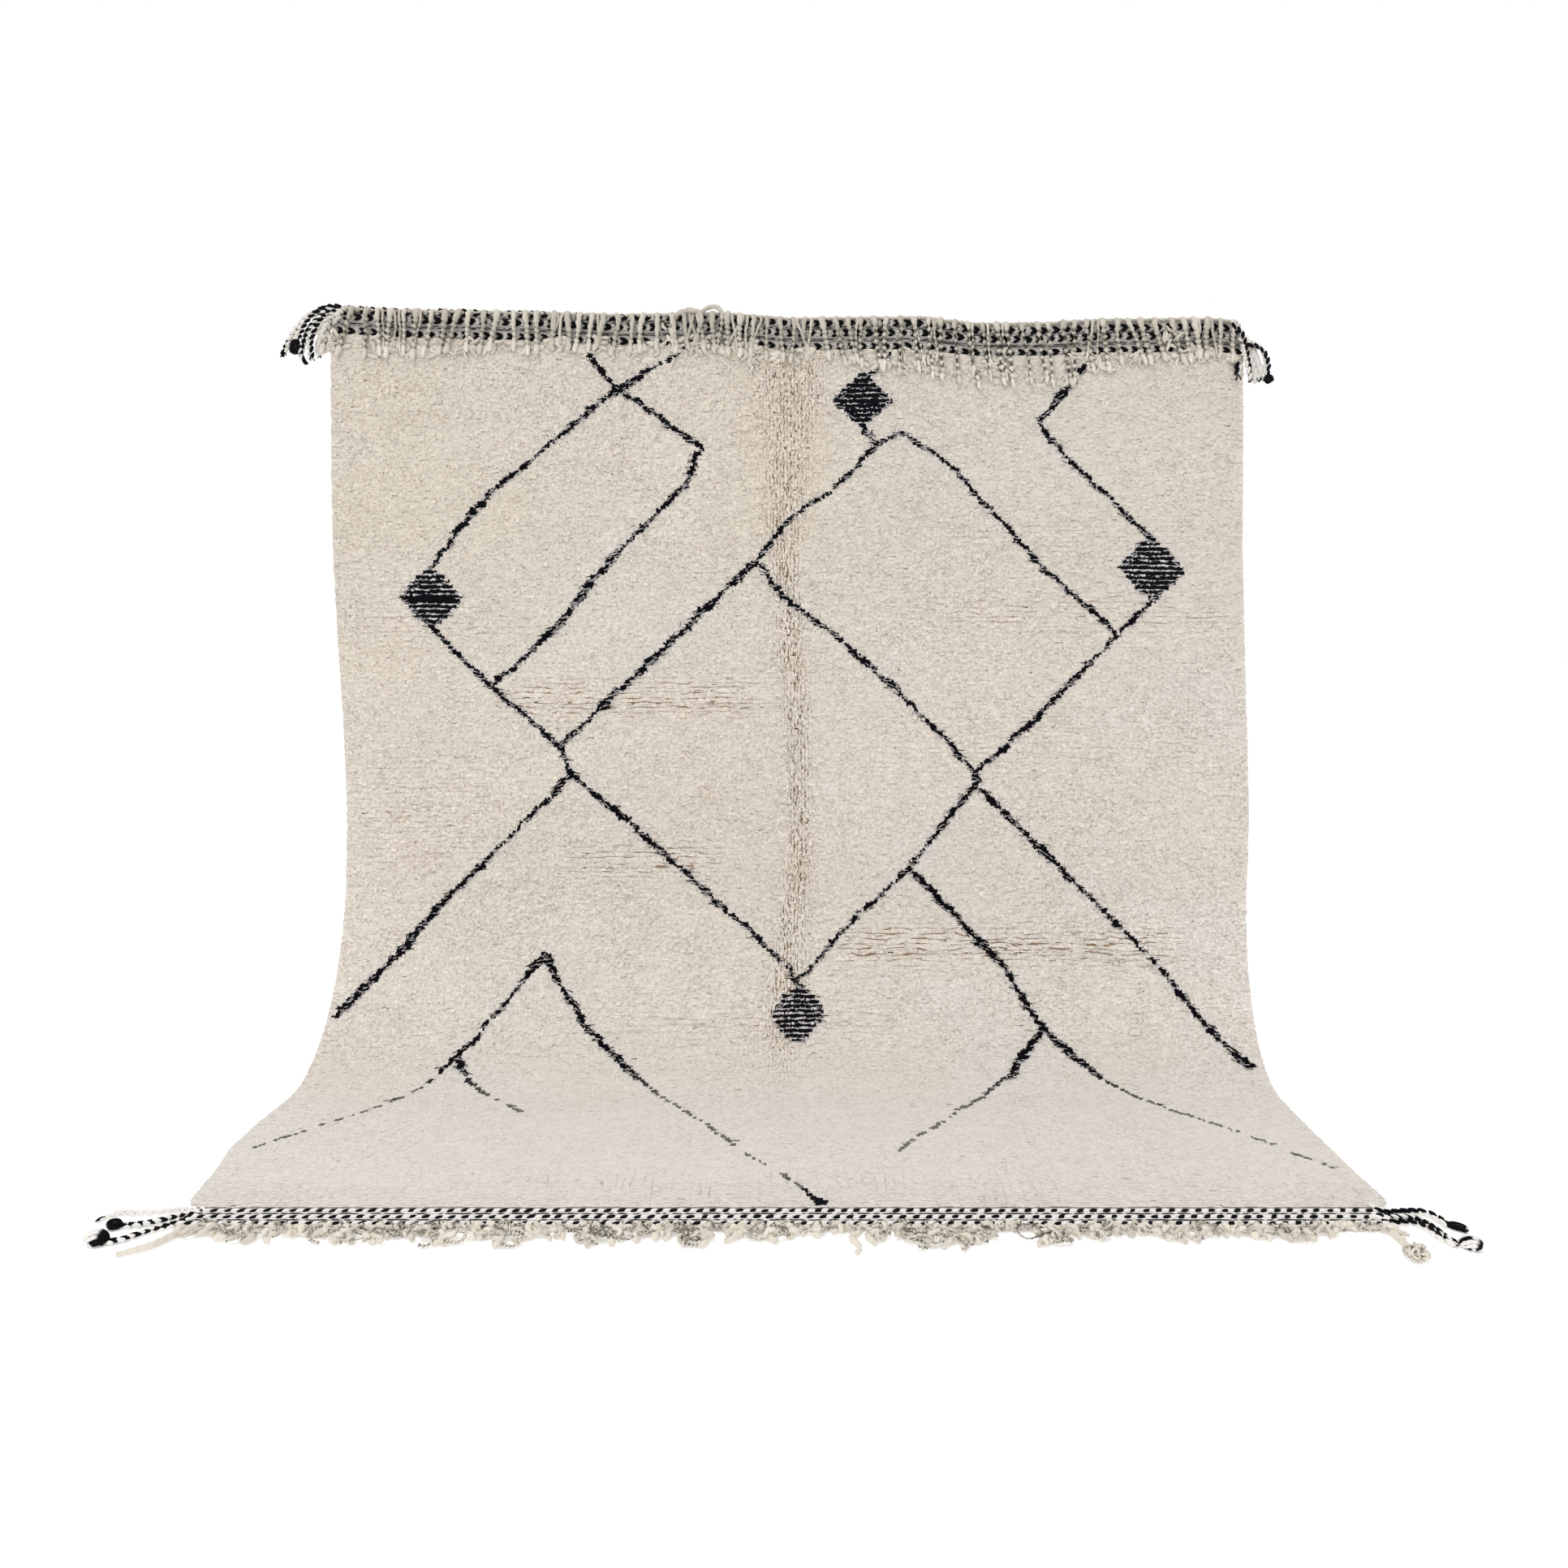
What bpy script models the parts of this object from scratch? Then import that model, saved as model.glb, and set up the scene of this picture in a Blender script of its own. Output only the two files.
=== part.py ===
"""Hand-knotted wool rug, hung by its top edge, with its lower end swept forward onto the floor.

Run with: blender --background --python part.py
Units are metres, +Z is up, the pile faces -Y and the floor is z = 0.

The rug is drawn flat and then draped. A point of the flat rug has three numbers:
    across  from the middle line, positive to the right
    along   from the upper edge of the top band, down the bare back
    lift    off the bare back, towards the pile
and drape() carries it to its place in the hanging, sweeping and lying cloth.
"""
import math
import random

import bmesh
import bpy
import numpy
from mathutils import Vector

# Where the rug hangs
MIDDLE_X = 0.007          # its middle line, so that the corner tails reach equally far each way
HANG_Y = 0.377            # the plane of its bare back
TOP_Z = 1.642             # upper edge of the top band
BEND_Z = 0.406            # height at which it leaves the plane
BEND_DEPTH = 0.254        # how far the sweep has carried it forward when it meets the floor
ARC_STEPS = 240           # steps in which the sweep's length is measured

# The flat rug
HALF_WIDTH = 1.0
TOP_BAND = 0.069          # flat-woven end band of three twined rows, hanging end
FLOOR_BAND = 0.054        # the same at the floor end
FLOOR_RUN = 0.364         # pile that lies flat on the floor
PILE_THICK = 0.016
BAND_ROWS = 3
BAND_CREST = 0.0105       # thickness over a twined row
BAND_VALLEY = 0.0050      # thickness between two rows
RIB_SHOULDER = 0.28       # share of a row's width over which its rib rises
GAP = 0.0003              # between two pieces that touch

# Rounded rims of the pile
RIM_WIDTH = 0.014
RIM_DROP = 0.006

# Lines of the grids that the cloth pieces are made from
EVEN_LINES = 17           # across the rug
LINE_CLEAR = 0.045        # an even line keeps this far from a line of the held edge
HANGING_LINES = 10        # down the hanging part
BEND_LINES = 11           # round the sweep
CREASE_CLEAR = 0.018      # a line keeps this far from a crease's own lines

# Fringe
STRANDS = 68              # strands at each end
STRAND_JITTER = 0.16      # how uneven their spacing is, as a share of it
STRAND_WIDTH = 0.009
STRAND_THICK = 0.0076
FRINGE_ROOT = 0.006       # height of the narrow strip that holds the strands
FRINGE_ROOT_THICK = 0.009
CLEARANCE = 0.002         # between a hanging strand and the rug behind it
LEAN_WAVE = 0.009         # hanging strands lean sideways in groups
LEAN_TURN = 0.55          # how fast the lean changes from strand to strand
LEAN_CHANCE = 0.003       # and how much each differs from its group
CORNER_LEAN = 0.022       # strands near the left corner lean outwards
CORNER_RUN = 0.20
TUFT_WIDTH = 0.015        # frayed knot at the end of a floor strand
TUFT_FLATNESS = 0.75      # its height for its width
TUFT_HIGHEST = 0.022

# A hanging strand from its root over the edge: shares of its lean and of its fall, its place down
# the rug where it hasn't begun to fall, whether it lies over band (0) or pile (1), how much
# further it stands off, and its size
STRAND_ARCH = (
    # lean, fall, along, over_pile, stand_off, size
    (0.00, 0.00, -0.0040, 0, -0.0005, 1.0),
    (0.05, 0.00, 0.0045, 0, 0.0030, 1.0),
    (0.35, 0.42, 0.0, 0, 0.0040, 1.0),
    (0.75, 0.80, 0.0, 1, 0.0010, 1.0),
    (1.00, 1.00, 0.0, 1, 0.0, 0.75),
)

# A floor strand from its root outwards: shares of its sideways shift, its reach and its tuft
STRAND_LAY = (
    # aside, reach, tuft
    (0.2, 0.35, 0.0),
    (0.6, 0.62, 1.0),
    (1.0, 1.00, 0.82),
)

# Corner tails, the ends of the twined rows
TAIL_ROOT = 0.010         # how far the strip that holds the cords stands out of the band's end
CORD_WIDE = 0.0106        # across both plies of a cord
CORD_THIN = 0.0076        # across one ply
CORD_TURN = 0.044         # length of one full turn of the two plies
CORD_STEP = 0.0065
CORD_TIP = 0.006          # length over which a plain end closes
TWIST_START = 0.02        # length over which the twist begins
TAIL_INSET = 0.002        # between the strip's ends and the band's edges

# Uneven outline: the sideways shift of the middle line and the half width, down the rug
OUTLINE = (
    # along, shift, half_width
    (0.00, 0.002, 1.000),
    (0.50, 0.005, 1.000),
    (0.70, 0.013, 1.001),
    (0.90, 0.023, 1.000),
    (1.10, 0.028, 1.000),
    (1.25, 0.024, 1.000),
    (1.40, 0.018, 1.000),
    (1.55, 0.010, 0.998),
    (1.70, 0.001, 0.997),
    (1.85, -0.009, 1.004),
    (1.95, -0.012, 1.008),
    (2.04, -0.006, 1.004),
    (2.11, 0.003, 0.994),
    (2.12, 0.003, 0.983),
    (2.30, 0.003, 0.983),
)

# How much higher or lower than TOP_Z the upper edge is held
TOP_EDGE = (
    # across, rise
    (-1.00, 0.021),
    (-0.86, 0.012),
    (-0.55, 0.008),
    (-0.38, 0.002),
    (-0.14, 0.006),
    (0.00, -0.006),
    (0.30, -0.003),
    (0.42, -0.017),
    (0.56, -0.016),
    (0.68, -0.009),
    (1.00, -0.005),
)
TOP_EDGE_REACH = 0.70     # the unevenness has faded out this far down

# How far the hanging strands fall below the upper edge
FRINGE_FALL = (
    # across, fall
    (-1.00, 0.108),
    (-0.62, 0.086),
    (-0.25, 0.078),
    (0.10, 0.096),
    (0.35, 0.134),
    (0.62, 0.138),
    (0.72, 0.100),
    (1.00, 0.084),
)

# How far the floor strands reach beyond the band
FRINGE_REACH = (
    # across, reach
    (-0.98, 0.028),
    (-0.66, 0.048),
    (-0.40, 0.040),
    (-0.15, 0.046),
    (-0.02, 0.027),
    (0.11, 0.060),
    (0.37, 0.050),
    (0.52, 0.030),
    (0.78, 0.038),
    (0.98, 0.026),
)

# Soft troughs pressed into the pile where the rug has been folded
LENGTHWISE_CREASE = {
    "across": 0.016, "half_width": 0.050, "depth": 0.0045, "start": 0.09, "end": 1.86, "fade": 0.3,
}
CROSSWISE_CREASES = (
    # along, from, to, depth
    (0.86, -0.66, 0.06, 0.0035),
    (1.22, -0.48, -0.18, 0.0030),
    (1.41, 0.10, 0.82, 0.0035),
)
CROSSWISE_HALF = 0.022    # half width of a crosswise trough
CROSSWISE_FADE = 0.08     # length over which a crosswise trough runs out

# Soft waves of the hanging cloth, out of its plane
WAVES = (
    # size, across_turns, along_turns, phase
    (0.0045, 1.15, 0.55, 0.6),
    (0.0025, 2.40, 1.10, 2.1),
)

# Corner tails: a cord starts at a row of its band, runs through its points, and ends plain or in
# a wrapped knob. A point is how far out of the band's end it is, how far down or ahead from the
# band's first edge, and its lift.
HANGING_TAILS = {
    "tail_top_left": (
        # knob, points
        (0.0, ((0.034, -0.004, 0.014), (0.066, 0.024, 0.016), (0.098, 0.088, 0.012))),
        (0.0085, ((0.030, 0.028, 0.015), (0.056, 0.048, 0.020), (0.071, 0.082, 0.018),
                  (0.067, 0.112, 0.014))),
        (0.0, ((0.026, 0.058, 0.012), (0.041, 0.080, 0.014), (0.042, 0.116, 0.010))),
    ),
    "tail_top_right": (
        (0.0085, ((0.034, 0.006, 0.018), (0.057, 0.034, 0.022), (0.069, 0.080, 0.018),
                  (0.075, 0.124, 0.012))),
        (0.0, ((0.024, 0.032, 0.014), (0.034, 0.062, 0.017), (0.040, 0.126, 0.012))),
        (0.0, ((0.017, 0.064, 0.009), (0.018, 0.096, 0.010), (0.014, 0.140, 0.009))),
    ),
}
FLOOR_TAILS = {
    "tail_floor_left": (
        (0.0, ((0.060, 0.006, 0.0), (0.112, 0.020, 0.0), (0.165, 0.034, 0.0))),
        (0.0095, ((0.048, 0.032, 0.0), (0.088, 0.048, 0.0), (0.124, 0.062, 0.0))),
        (0.0140, ((0.046, 0.060, 0.0), (0.080, 0.080, 0.0), (0.126, 0.104, 0.0))),
    ),
    "tail_floor_right": (
        (0.0080, ((0.048, 0.003, 0.0), (0.084, 0.014, 0.0), (0.110, 0.040, 0.0),
                  (0.141, 0.060, 0.0))),
        (0.0130, ((0.042, 0.046, 0.0), (0.080, 0.074, 0.0), (0.130, 0.106, 0.0))),
        (0.0, ((0.030, 0.066, 0.0), (0.052, 0.088, 0.0), (0.070, 0.118, 0.0))),
    ),
}
KNOB_LENGTH = 0.032
KNOB_SIDE = 0.8           # half side of a knob's square section, for its radius
KNOB_SHOULDER = 0.008     # length over which a knob swells and closes
KNOB_TIP = 0.65           # size of its closed end

# Long ivory strands at the two floor corners: the strand's place in the fringe, counted from its
# left, how far its end lies to the side and beyond the band, and how thick the end is
LONG_STRANDS = (
    # place, aside, reach, end_width
    (0, -0.062, 0.068, 0.010),
    (STRANDS - 1, 0.014, 0.082, 0.034),
)

MATERIALS = {
    # colour, roughness
    "pile": ((0.66, 0.60, 0.52, 1.0), 0.95),
    "twined": ((0.30, 0.28, 0.26, 1.0), 0.85),
    "fringe": ((0.58, 0.53, 0.45, 1.0), 0.90),
}


def lookup(table, place, column=1):
    """Read one column of a table at a place in its first column."""
    return float(numpy.interp(place, [row[0] for row in table], [row[column] for row in table]))


def ease(share):
    """Go softly from 0 to 1."""
    share = min(max(share, 0.0), 1.0)
    return share * share * (3.0 - 2.0 * share)


def drape_curve():
    """Distances down the back of the rug, with how far forward and how high each point is."""
    turn = numpy.linspace(0.0, math.pi / 2, ARC_STEPS)
    forward = BEND_DEPTH * (1.0 - numpy.cos(turn))
    height = BEND_Z * (1.0 - numpy.sin(turn))
    steps = numpy.hypot(numpy.diff(forward), numpy.diff(height))
    along = TOP_Z - BEND_Z + numpy.concatenate(([0.0], numpy.cumsum(steps)))
    return along, forward, height


CURVE = drape_curve()
BEND_START = float(CURVE[0][0])
BEND_END = float(CURVE[0][-1])
PILE_END = BEND_END + FLOOR_RUN
BAND_START = PILE_END + GAP
BAND_END = BAND_START + FLOOR_BAND


def drape_middle(along):
    """How far forward and how high the bare back lies, and the direction in which it runs."""
    if along <= BEND_START:
        return 0.0, TOP_Z - along, (0.0, -1.0)
    if along >= BEND_END:
        return BEND_DEPTH + along - BEND_END, 0.0, (1.0, 0.0)
    forward = float(numpy.interp(along, CURVE[0], CURVE[1]))
    height = float(numpy.interp(along, CURVE[0], CURVE[2]))
    turn = math.acos(1.0 - forward / BEND_DEPTH)
    run = Vector((BEND_DEPTH * math.sin(turn), -BEND_Z * math.cos(turn))).normalized()
    return forward, height, tuple(run)


def wave(across, along):
    """Soft waves of the hanging cloth, still at its held edge and where it starts to bend."""
    quiet = math.sin(math.pi * min(max(along / BEND_START, 0.0), 1.0))
    height = 0.0
    for size, across_turns, along_turns, phase in WAVES:
        turn = across * across_turns + along * along_turns
        height += size * math.sin(2.0 * math.pi * turn + phase)
    return height * quiet


def drape(across, along, lift):
    """Carry a point of the flat rug to its place."""
    forward, height, run = drape_middle(along)
    lift += wave(across, along)
    forward += -run[1] * lift
    height += run[0] * lift
    height += lookup(TOP_EDGE, across) * (1.0 - ease(along / TOP_EDGE_REACH))
    width = lookup(OUTLINE, along, 2)
    aside = math.copysign(max(abs(across) - HALF_WIDTH, 0.0), across)
    inside = across - aside
    x = MIDDLE_X + lookup(OUTLINE, along) + inside * width + aside
    return Vector((x, HANG_Y - forward, height))


def make_material(name, colour, roughness):
    material = bpy.data.materials.new(name)
    material.use_nodes = True
    shader = material.node_tree.nodes["Principled BSDF"]
    shader.inputs["Base Color"].default_value = colour
    shader.inputs["Roughness"].default_value = roughness
    shader.inputs["Metallic"].default_value = 0.0
    return material


def make_object(name, mesh, finish):
    """Turn a finished bmesh into a named object with its own material."""
    bmesh.ops.recalc_face_normals(mesh, faces=mesh.faces)
    data = bpy.data.meshes.new(name)
    mesh.to_mesh(data)
    mesh.free()
    piece = bpy.data.objects.new(name, data)
    bpy.context.scene.collection.objects.link(piece)
    data.materials.append(make_material(name, *MATERIALS[finish]))
    return piece


def carry(mesh, face, corners, rings):
    """Push a face through rings; corners are its own vertices in the order of a ring."""
    order = [corners.index(vert) for vert in face.verts]
    for ring in rings:
        face = bmesh.ops.extrude_discrete_faces(mesh, faces=[face])["faces"][0]
        for vert, corner in zip(face.verts, order):
            vert.co = ring[corner]
    grown = [None] * len(order)
    for vert, corner in zip(face.verts, order):
        grown[corner] = vert
    return face, grown


def skin(mesh, rings):
    """Make a closed bar through the rings, and give back its vertices ring by ring."""
    first = [mesh.verts.new(point) for point in rings[0]]
    face = mesh.faces.new(first)
    corners = [first]
    for ring in rings[1:]:
        face, grown = carry(mesh, face, corners[-1], [ring])
        corners.append(grown)
    mesh.faces.new(list(reversed(first)))
    return corners


def comb(mesh, rings, roots, strands):
    """Make a narrow strip through the rings, whose second side grows a strand after each root."""
    corners = skin(mesh, rings)
    for root_ring, strand in zip(roots, strands):
        near = corners[root_ring]
        far = corners[root_ring + 1]
        root = [near[1], near[2], far[2], far[1]]
        face = next(face for face in near[1].link_faces if set(face.verts) == set(root))
        carry(mesh, face, root, strand)


def band_stations():
    """Lines across the rug that its cloth pieces share, so that their joints run alike."""
    held = [row[0] for row in TOP_EDGE]
    even = numpy.linspace(-HALF_WIDTH, HALF_WIDTH, EVEN_LINES)
    clear = [float(x) for x in even if all(abs(x - place) > LINE_CLEAR for place in held)]
    return sorted(held + clear)


def pile_columns():
    """Where the pile's grid has its lines across the rug."""
    middle = LENGTHWISE_CREASE["across"]
    half = LENGTHWISE_CREASE["half_width"]
    crease = [middle + share * half for share in (-1.0, -0.5, 0.0, 0.5, 1.0)]
    clear = [x for x in band_stations() if x == 0.0 or abs(x - middle) > 1.5 * half]
    rims = [RIM_WIDTH - HALF_WIDTH, HALF_WIDTH - RIM_WIDTH]
    return sorted(clear + crease + rims)


def pile_rows():
    """Where the pile's grid has its lines down the rug."""
    start = TOP_BAND + GAP
    even = list(numpy.linspace(start, BEND_START, HANGING_LINES)[1:-1])
    even += list(numpy.linspace(BEND_START, BEND_END, BEND_LINES))
    creases = [row[0] + share * CROSSWISE_HALF for row in CROSSWISE_CREASES for share in (-1, 0, 1)]
    clear = [line for line in even if all(abs(line - crease) > CREASE_CLEAR for crease in creases)]
    lying = [BEND_END + 0.5 * FLOOR_RUN]
    rims = [start, start + RIM_WIDTH, PILE_END - RIM_WIDTH, PILE_END]
    return sorted(clear + creases + lying + rims)


def trough(offset, half):
    """Cross section of a crease, 1 in its middle and 0 at its sides."""
    return 0.5 + 0.5 * math.cos(math.pi * min(abs(offset) / half, 1.0))


def pile_thickness(across, along):
    """Pile height with its rounded rims and the creases pressed into it."""
    start = TOP_BAND + GAP
    rim = min(HALF_WIDTH - abs(across), along - start, PILE_END - along)
    thick = PILE_THICK - RIM_DROP * (1.0 - ease(rim / RIM_WIDTH))
    crease = LENGTHWISE_CREASE
    if crease["start"] < along < crease["end"]:
        fade = ease((crease["end"] - along) / crease["fade"])
        thick -= crease["depth"] * fade * trough(across - crease["across"], crease["half_width"])
    for middle, left, right, depth in CROSSWISE_CREASES:
        fade = ease((across - left) / CROSSWISE_FADE) * ease((right - across) / CROSSWISE_FADE)
        thick -= depth * fade * trough(along - middle, CROSSWISE_HALF)
    return thick


def make_pile():
    """The knotted field: a draped slab with its pile in front and its bare back behind."""
    columns = pile_columns()
    rows = pile_rows()
    mesh = bmesh.new()
    bmesh.ops.create_grid(mesh, x_segments=len(columns) - 1, y_segments=len(rows) - 1, size=1.0)
    back = list(mesh.verts)
    grown = bmesh.ops.extrude_face_region(mesh, geom=list(mesh.faces), use_keep_orig=True)
    front = [item for item in grown["geom"] if isinstance(item, bmesh.types.BMVert)]
    for verts, raised in ((back, False), (front, True)):
        for vert in verts:
            column = round((vert.co.x + 1.0) / 2.0 * (len(columns) - 1))
            row = round((vert.co.y + 1.0) / 2.0 * (len(rows) - 1))
            across, along = columns[column], rows[row]
            vert.co = drape(across, along, pile_thickness(across, along) if raised else 0.0)
    lying = [face for face in mesh.faces if all(abs(vert.co.z) < 1e-6 for vert in face.verts)]
    bmesh.ops.dissolve_faces(mesh, faces=lying)
    return make_object("pile_field", mesh, "pile")


def band_section(start, width):
    """Outline of an end band: a flat back, and a rounded rib for each twined row."""
    row = width / BAND_ROWS
    points = [(start, 0.0)]
    for number in range(BAND_ROWS):
        edge = start + number * row
        points.append((edge, BAND_VALLEY))
        points.append((edge + RIB_SHOULDER * row, BAND_CREST))
        points.append((edge + (1.0 - RIB_SHOULDER) * row, BAND_CREST))
    return points + [(start + width, BAND_VALLEY), (start + width, 0.0)]


def make_band(name, start, width):
    """A twined end band, from side to side of the rug."""
    section = band_section(start, width)
    mesh = bmesh.new()
    skin(mesh, [[drape(x, along, lift) for along, lift in section] for x in band_stations()])
    return make_object(name, mesh, "twined")


def fringe_places():
    """Middles of the strands across the rug, spaced by hand and so a little uneven."""
    chance = random.Random(11)
    pitch = 2.0 * HALF_WIDTH / STRANDS
    jitter = STRAND_JITTER * pitch
    return [(number + 0.5) * pitch - HALF_WIDTH + chance.uniform(-jitter, jitter)
            for number in range(STRANDS)]


def fringe_edges(places):
    """Lines across the strip that holds the strands, and the one where each strand begins."""
    half = STRAND_WIDTH / 2
    begins = [place - half for place in places]
    bends = [row[0] for row in TOP_EDGE if all(abs(row[0] - place) > 1.2 * half for place in places)]
    edges = sorted(begins + [place + half for place in places] + bends)
    return edges, [edges.index(begin) for begin in begins]


def fringe_rings(edges, start):
    """Rings of the strip that holds the strands."""
    end = start + FRINGE_ROOT
    rings = []
    for x in edges:
        section = ((start, FRINGE_ROOT_THICK), (end, FRINGE_ROOT_THICK), (end, 0.0), (start, 0.0))
        rings.append([drape(x, along, lift) for along, lift in section])
    return rings


def strand_rings(path):
    """Four-sided rings along a strand; a row of its path is across, along, lift, width, thickness."""
    rings = []
    for number, (across, along, lift, width, thick) in enumerate(path):
        before = path[max(number - 1, 0)]
        after = path[min(number + 1, len(path) - 1)]
        run = Vector((after[1] - before[1], after[2] - before[2])).normalized()
        rise = (-run.y * thick / 2, run.x * thick / 2)
        left, right = across - width / 2, across + width / 2
        rings.append([
            drape(left, along + rise[0], lift + rise[1]),
            drape(left, along - rise[0], lift - rise[1]),
            drape(right, along - rise[0], lift - rise[1]),
            drape(right, along + rise[0], lift + rise[1]),
        ])
    return rings


def hanging_strand(place, number, chance):
    """A strand that leaves the top edge forward, bends over and hangs in front of the rug."""
    fall = lookup(FRINGE_FALL, place) * chance.uniform(0.93, 1.07)
    lean = LEAN_WAVE * math.sin(LEAN_TURN * number) + chance.uniform(-LEAN_CHANCE, LEAN_CHANCE)
    lean -= CORNER_LEAN * ease((CORNER_RUN - HALF_WIDTH - place) / CORNER_RUN)
    path = []
    for lean_share, fall_share, along, over_pile, stand_off, size in STRAND_ARCH:
        behind = PILE_THICK if over_pile else BAND_CREST
        lift = behind + CLEARANCE + STRAND_THICK / 2 + stand_off
        path.append((place + lean_share * lean, along + fall_share * fall, lift,
                     size * STRAND_WIDTH, size * STRAND_THICK))
    return path


def floor_strand(place, aside, reach, end_width):
    """A strand that lies level on the floor and ends in a frayed knot."""
    start = BAND_END + GAP + FRINGE_ROOT
    end_thick = min(TUFT_FLATNESS * end_width, TUFT_HIGHEST)
    path = []
    for aside_share, reach_share, tuft in STRAND_LAY:
        width = tuft * end_width if tuft else STRAND_WIDTH
        thick = tuft * end_thick if tuft else STRAND_THICK
        path.append((place + aside_share * aside, start + reach_share * reach, thick / 2,
                     width, thick))
    return path


def make_hanging_fringe():
    """Ivory fringe of the top edge, flopped forward over the band."""
    chance = random.Random(21)
    places = fringe_places()
    edges, roots = fringe_edges(places)
    rings = fringe_rings(edges, -GAP - FRINGE_ROOT)
    for ring in rings:
        # the strands leave the strip's front here, so its corners move round by one
        ring.insert(0, ring.pop())
    strands = [strand_rings(hanging_strand(place, number, chance))
               for number, place in enumerate(places)]
    mesh = bmesh.new()
    comb(mesh, rings, roots, strands)
    return make_object("top_fringe", mesh, "fringe")


def make_floor_fringe():
    """Ivory fringe of the floor end, crumpled on the floor beyond the band."""
    chance = random.Random(31)
    places = fringe_places()
    strands = []
    for place in places:
        reach = lookup(FRINGE_REACH, place) * chance.uniform(0.88, 1.10)
        strands.append(floor_strand(place, chance.uniform(-0.005, 0.005), reach, TUFT_WIDTH))
    for number, aside, reach, end_width in LONG_STRANDS:
        strands[number] = floor_strand(places[number], aside, reach, end_width)
    edges, roots = fringe_edges(places)
    mesh = bmesh.new()
    comb(mesh, fringe_rings(edges, BAND_END + GAP), roots, [strand_rings(path) for path in strands])
    return make_object("floor_fringe", mesh, "fringe")


def smooth_curve(points, step):
    """Even points on a smooth curve through the given ones."""
    padded = [2 * points[0] - points[1]] + points + [2 * points[-1] - points[-2]]
    fine = []
    for a, b, c, d in zip(padded, padded[1:], padded[2:], padded[3:]):
        for share in numpy.linspace(0.0, 1.0, 24, endpoint=False):
            t = float(share)
            fine.append(0.5 * (2 * b + (c - a) * t + (2 * a - 5 * b + 4 * c - d) * t * t
                               + (3 * b - a - 3 * c + d) * t ** 3))
    fine.append(points[-1])
    lengths = numpy.cumsum([0.0] + [(b - a).length for a, b in zip(fine, fine[1:])])
    count = max(int(round(lengths[-1] / step)), 3)
    places = numpy.linspace(0.0, lengths[-1], count + 1)
    columns = [numpy.interp(places, lengths, [point[axis] for point in fine]) for axis in range(3)]
    return [Vector(point) for point in zip(*columns)], float(lengths[-1])


def cord_size(place, length, knob):
    """How wide and thin the cord is at a place on it, with its knob or its closed tip."""
    wide, thin = CORD_WIDE / 2, CORD_THIN / 2
    left = length - place
    if knob and left < KNOB_LENGTH:
        share = ease((KNOB_LENGTH - left) / KNOB_SHOULDER)
        share *= 1.0 - (1.0 - KNOB_TIP) * ease(1.0 - left / KNOB_SHOULDER)
        side = KNOB_SIDE * knob
        return wide + (side - wide) * share, thin + (side - thin) * share
    if left < CORD_TIP:
        return KNOB_TIP * wide, KNOB_TIP * thin
    return wide, thin


def cord_rings(points, knob, on_floor):
    """Four-sided rings along a cord of two plies, turned as the plies turn."""
    centres, length = smooth_curve(points, CORD_STEP)
    outwards = Vector((0.0, 0.0, 1.0)) if on_floor else Vector((0.0, -1.0, 0.0))
    side = Vector((0.0, -1.0, 0.0)) if on_floor else Vector((0.0, 0.0, -1.0))
    rings = []
    for number, centre in enumerate(centres[1:], 1):
        ahead = centres[min(number + 1, len(centres) - 1)] - centres[number - 1]
        run = ahead.normalized()
        side = (side - run * side.dot(run)).normalized()
        rise = run.cross(side)
        if rise.dot(outwards) < 0.0:
            rise = -rise
        place = length * number / (len(centres) - 1)
        wide, thin = cord_size(place, length, knob)
        turn = 2.0 * math.pi * place / CORD_TURN * min(place / TWIST_START, 1.0)
        ring = []
        for u, v in ((-1, 1), (-1, -1), (1, -1), (1, 1)):
            a, b = u * wide, v * thin
            ring.append(centre + side * (a * math.cos(turn) - b * math.sin(turn))
                        + rise * (a * math.sin(turn) + b * math.cos(turn)))
        if on_floor:
            ring = [point + Vector((0, 0, -min(corner.z for corner in ring))) for point in ring]
        rings.append(ring)
    return rings


def make_tail(name, side, start, width, cords, on_floor):
    """The cords of one corner, grown from a narrow strip at the end of the band."""
    row = width / BAND_ROWS
    half_root = CORD_WIDE / 2
    middles = [start + (number + 0.5) * row for number in range(BAND_ROWS)]
    edges = [start + TAIL_INSET]
    for middle in middles:
        edges += [middle - half_root, middle + half_root]
    edges.append(start + width - TAIL_INSET)
    inner, outer = HALF_WIDTH + GAP, HALF_WIDTH + TAIL_ROOT
    section = ((inner, CORD_THIN), (outer, CORD_THIN), (outer, 0.0), (inner, 0.0))
    rings = [[drape(side * x, along, lift) for x, lift in section] for along in edges]
    strands = []
    for middle, (knob, points) in zip(middles, cords):
        route = [drape(side * outer, middle, CORD_THIN / 2)]
        route += [drape(side * (HALF_WIDTH + out), start + down, lift + CORD_THIN / 2)
                  for out, down, lift in points]
        strands.append(cord_rings(route, knob, on_floor))
    mesh = bmesh.new()
    comb(mesh, rings, range(1, 2 * BAND_ROWS, 2), strands)
    return make_object(name, mesh, "twined")


def make_tails():
    for ends, start, width, on_floor in ((HANGING_TAILS, 0.0, TOP_BAND, False),
                                         (FLOOR_TAILS, BAND_START, FLOOR_BAND, True)):
        for name, cords in ends.items():
            side = -1.0 if name.endswith("left") else 1.0
            make_tail(name, side, start, width, cords, on_floor)


def main():
    for old in list(bpy.data.objects):
        bpy.data.objects.remove(old, do_unlink=True)
    make_pile()
    make_band("top_band", 0.0, TOP_BAND)
    make_band("floor_band", BAND_START, FLOOR_BAND)
    make_hanging_fringe()
    make_floor_fringe()
    make_tails()


main()
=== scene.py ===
import math
import random

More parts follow.
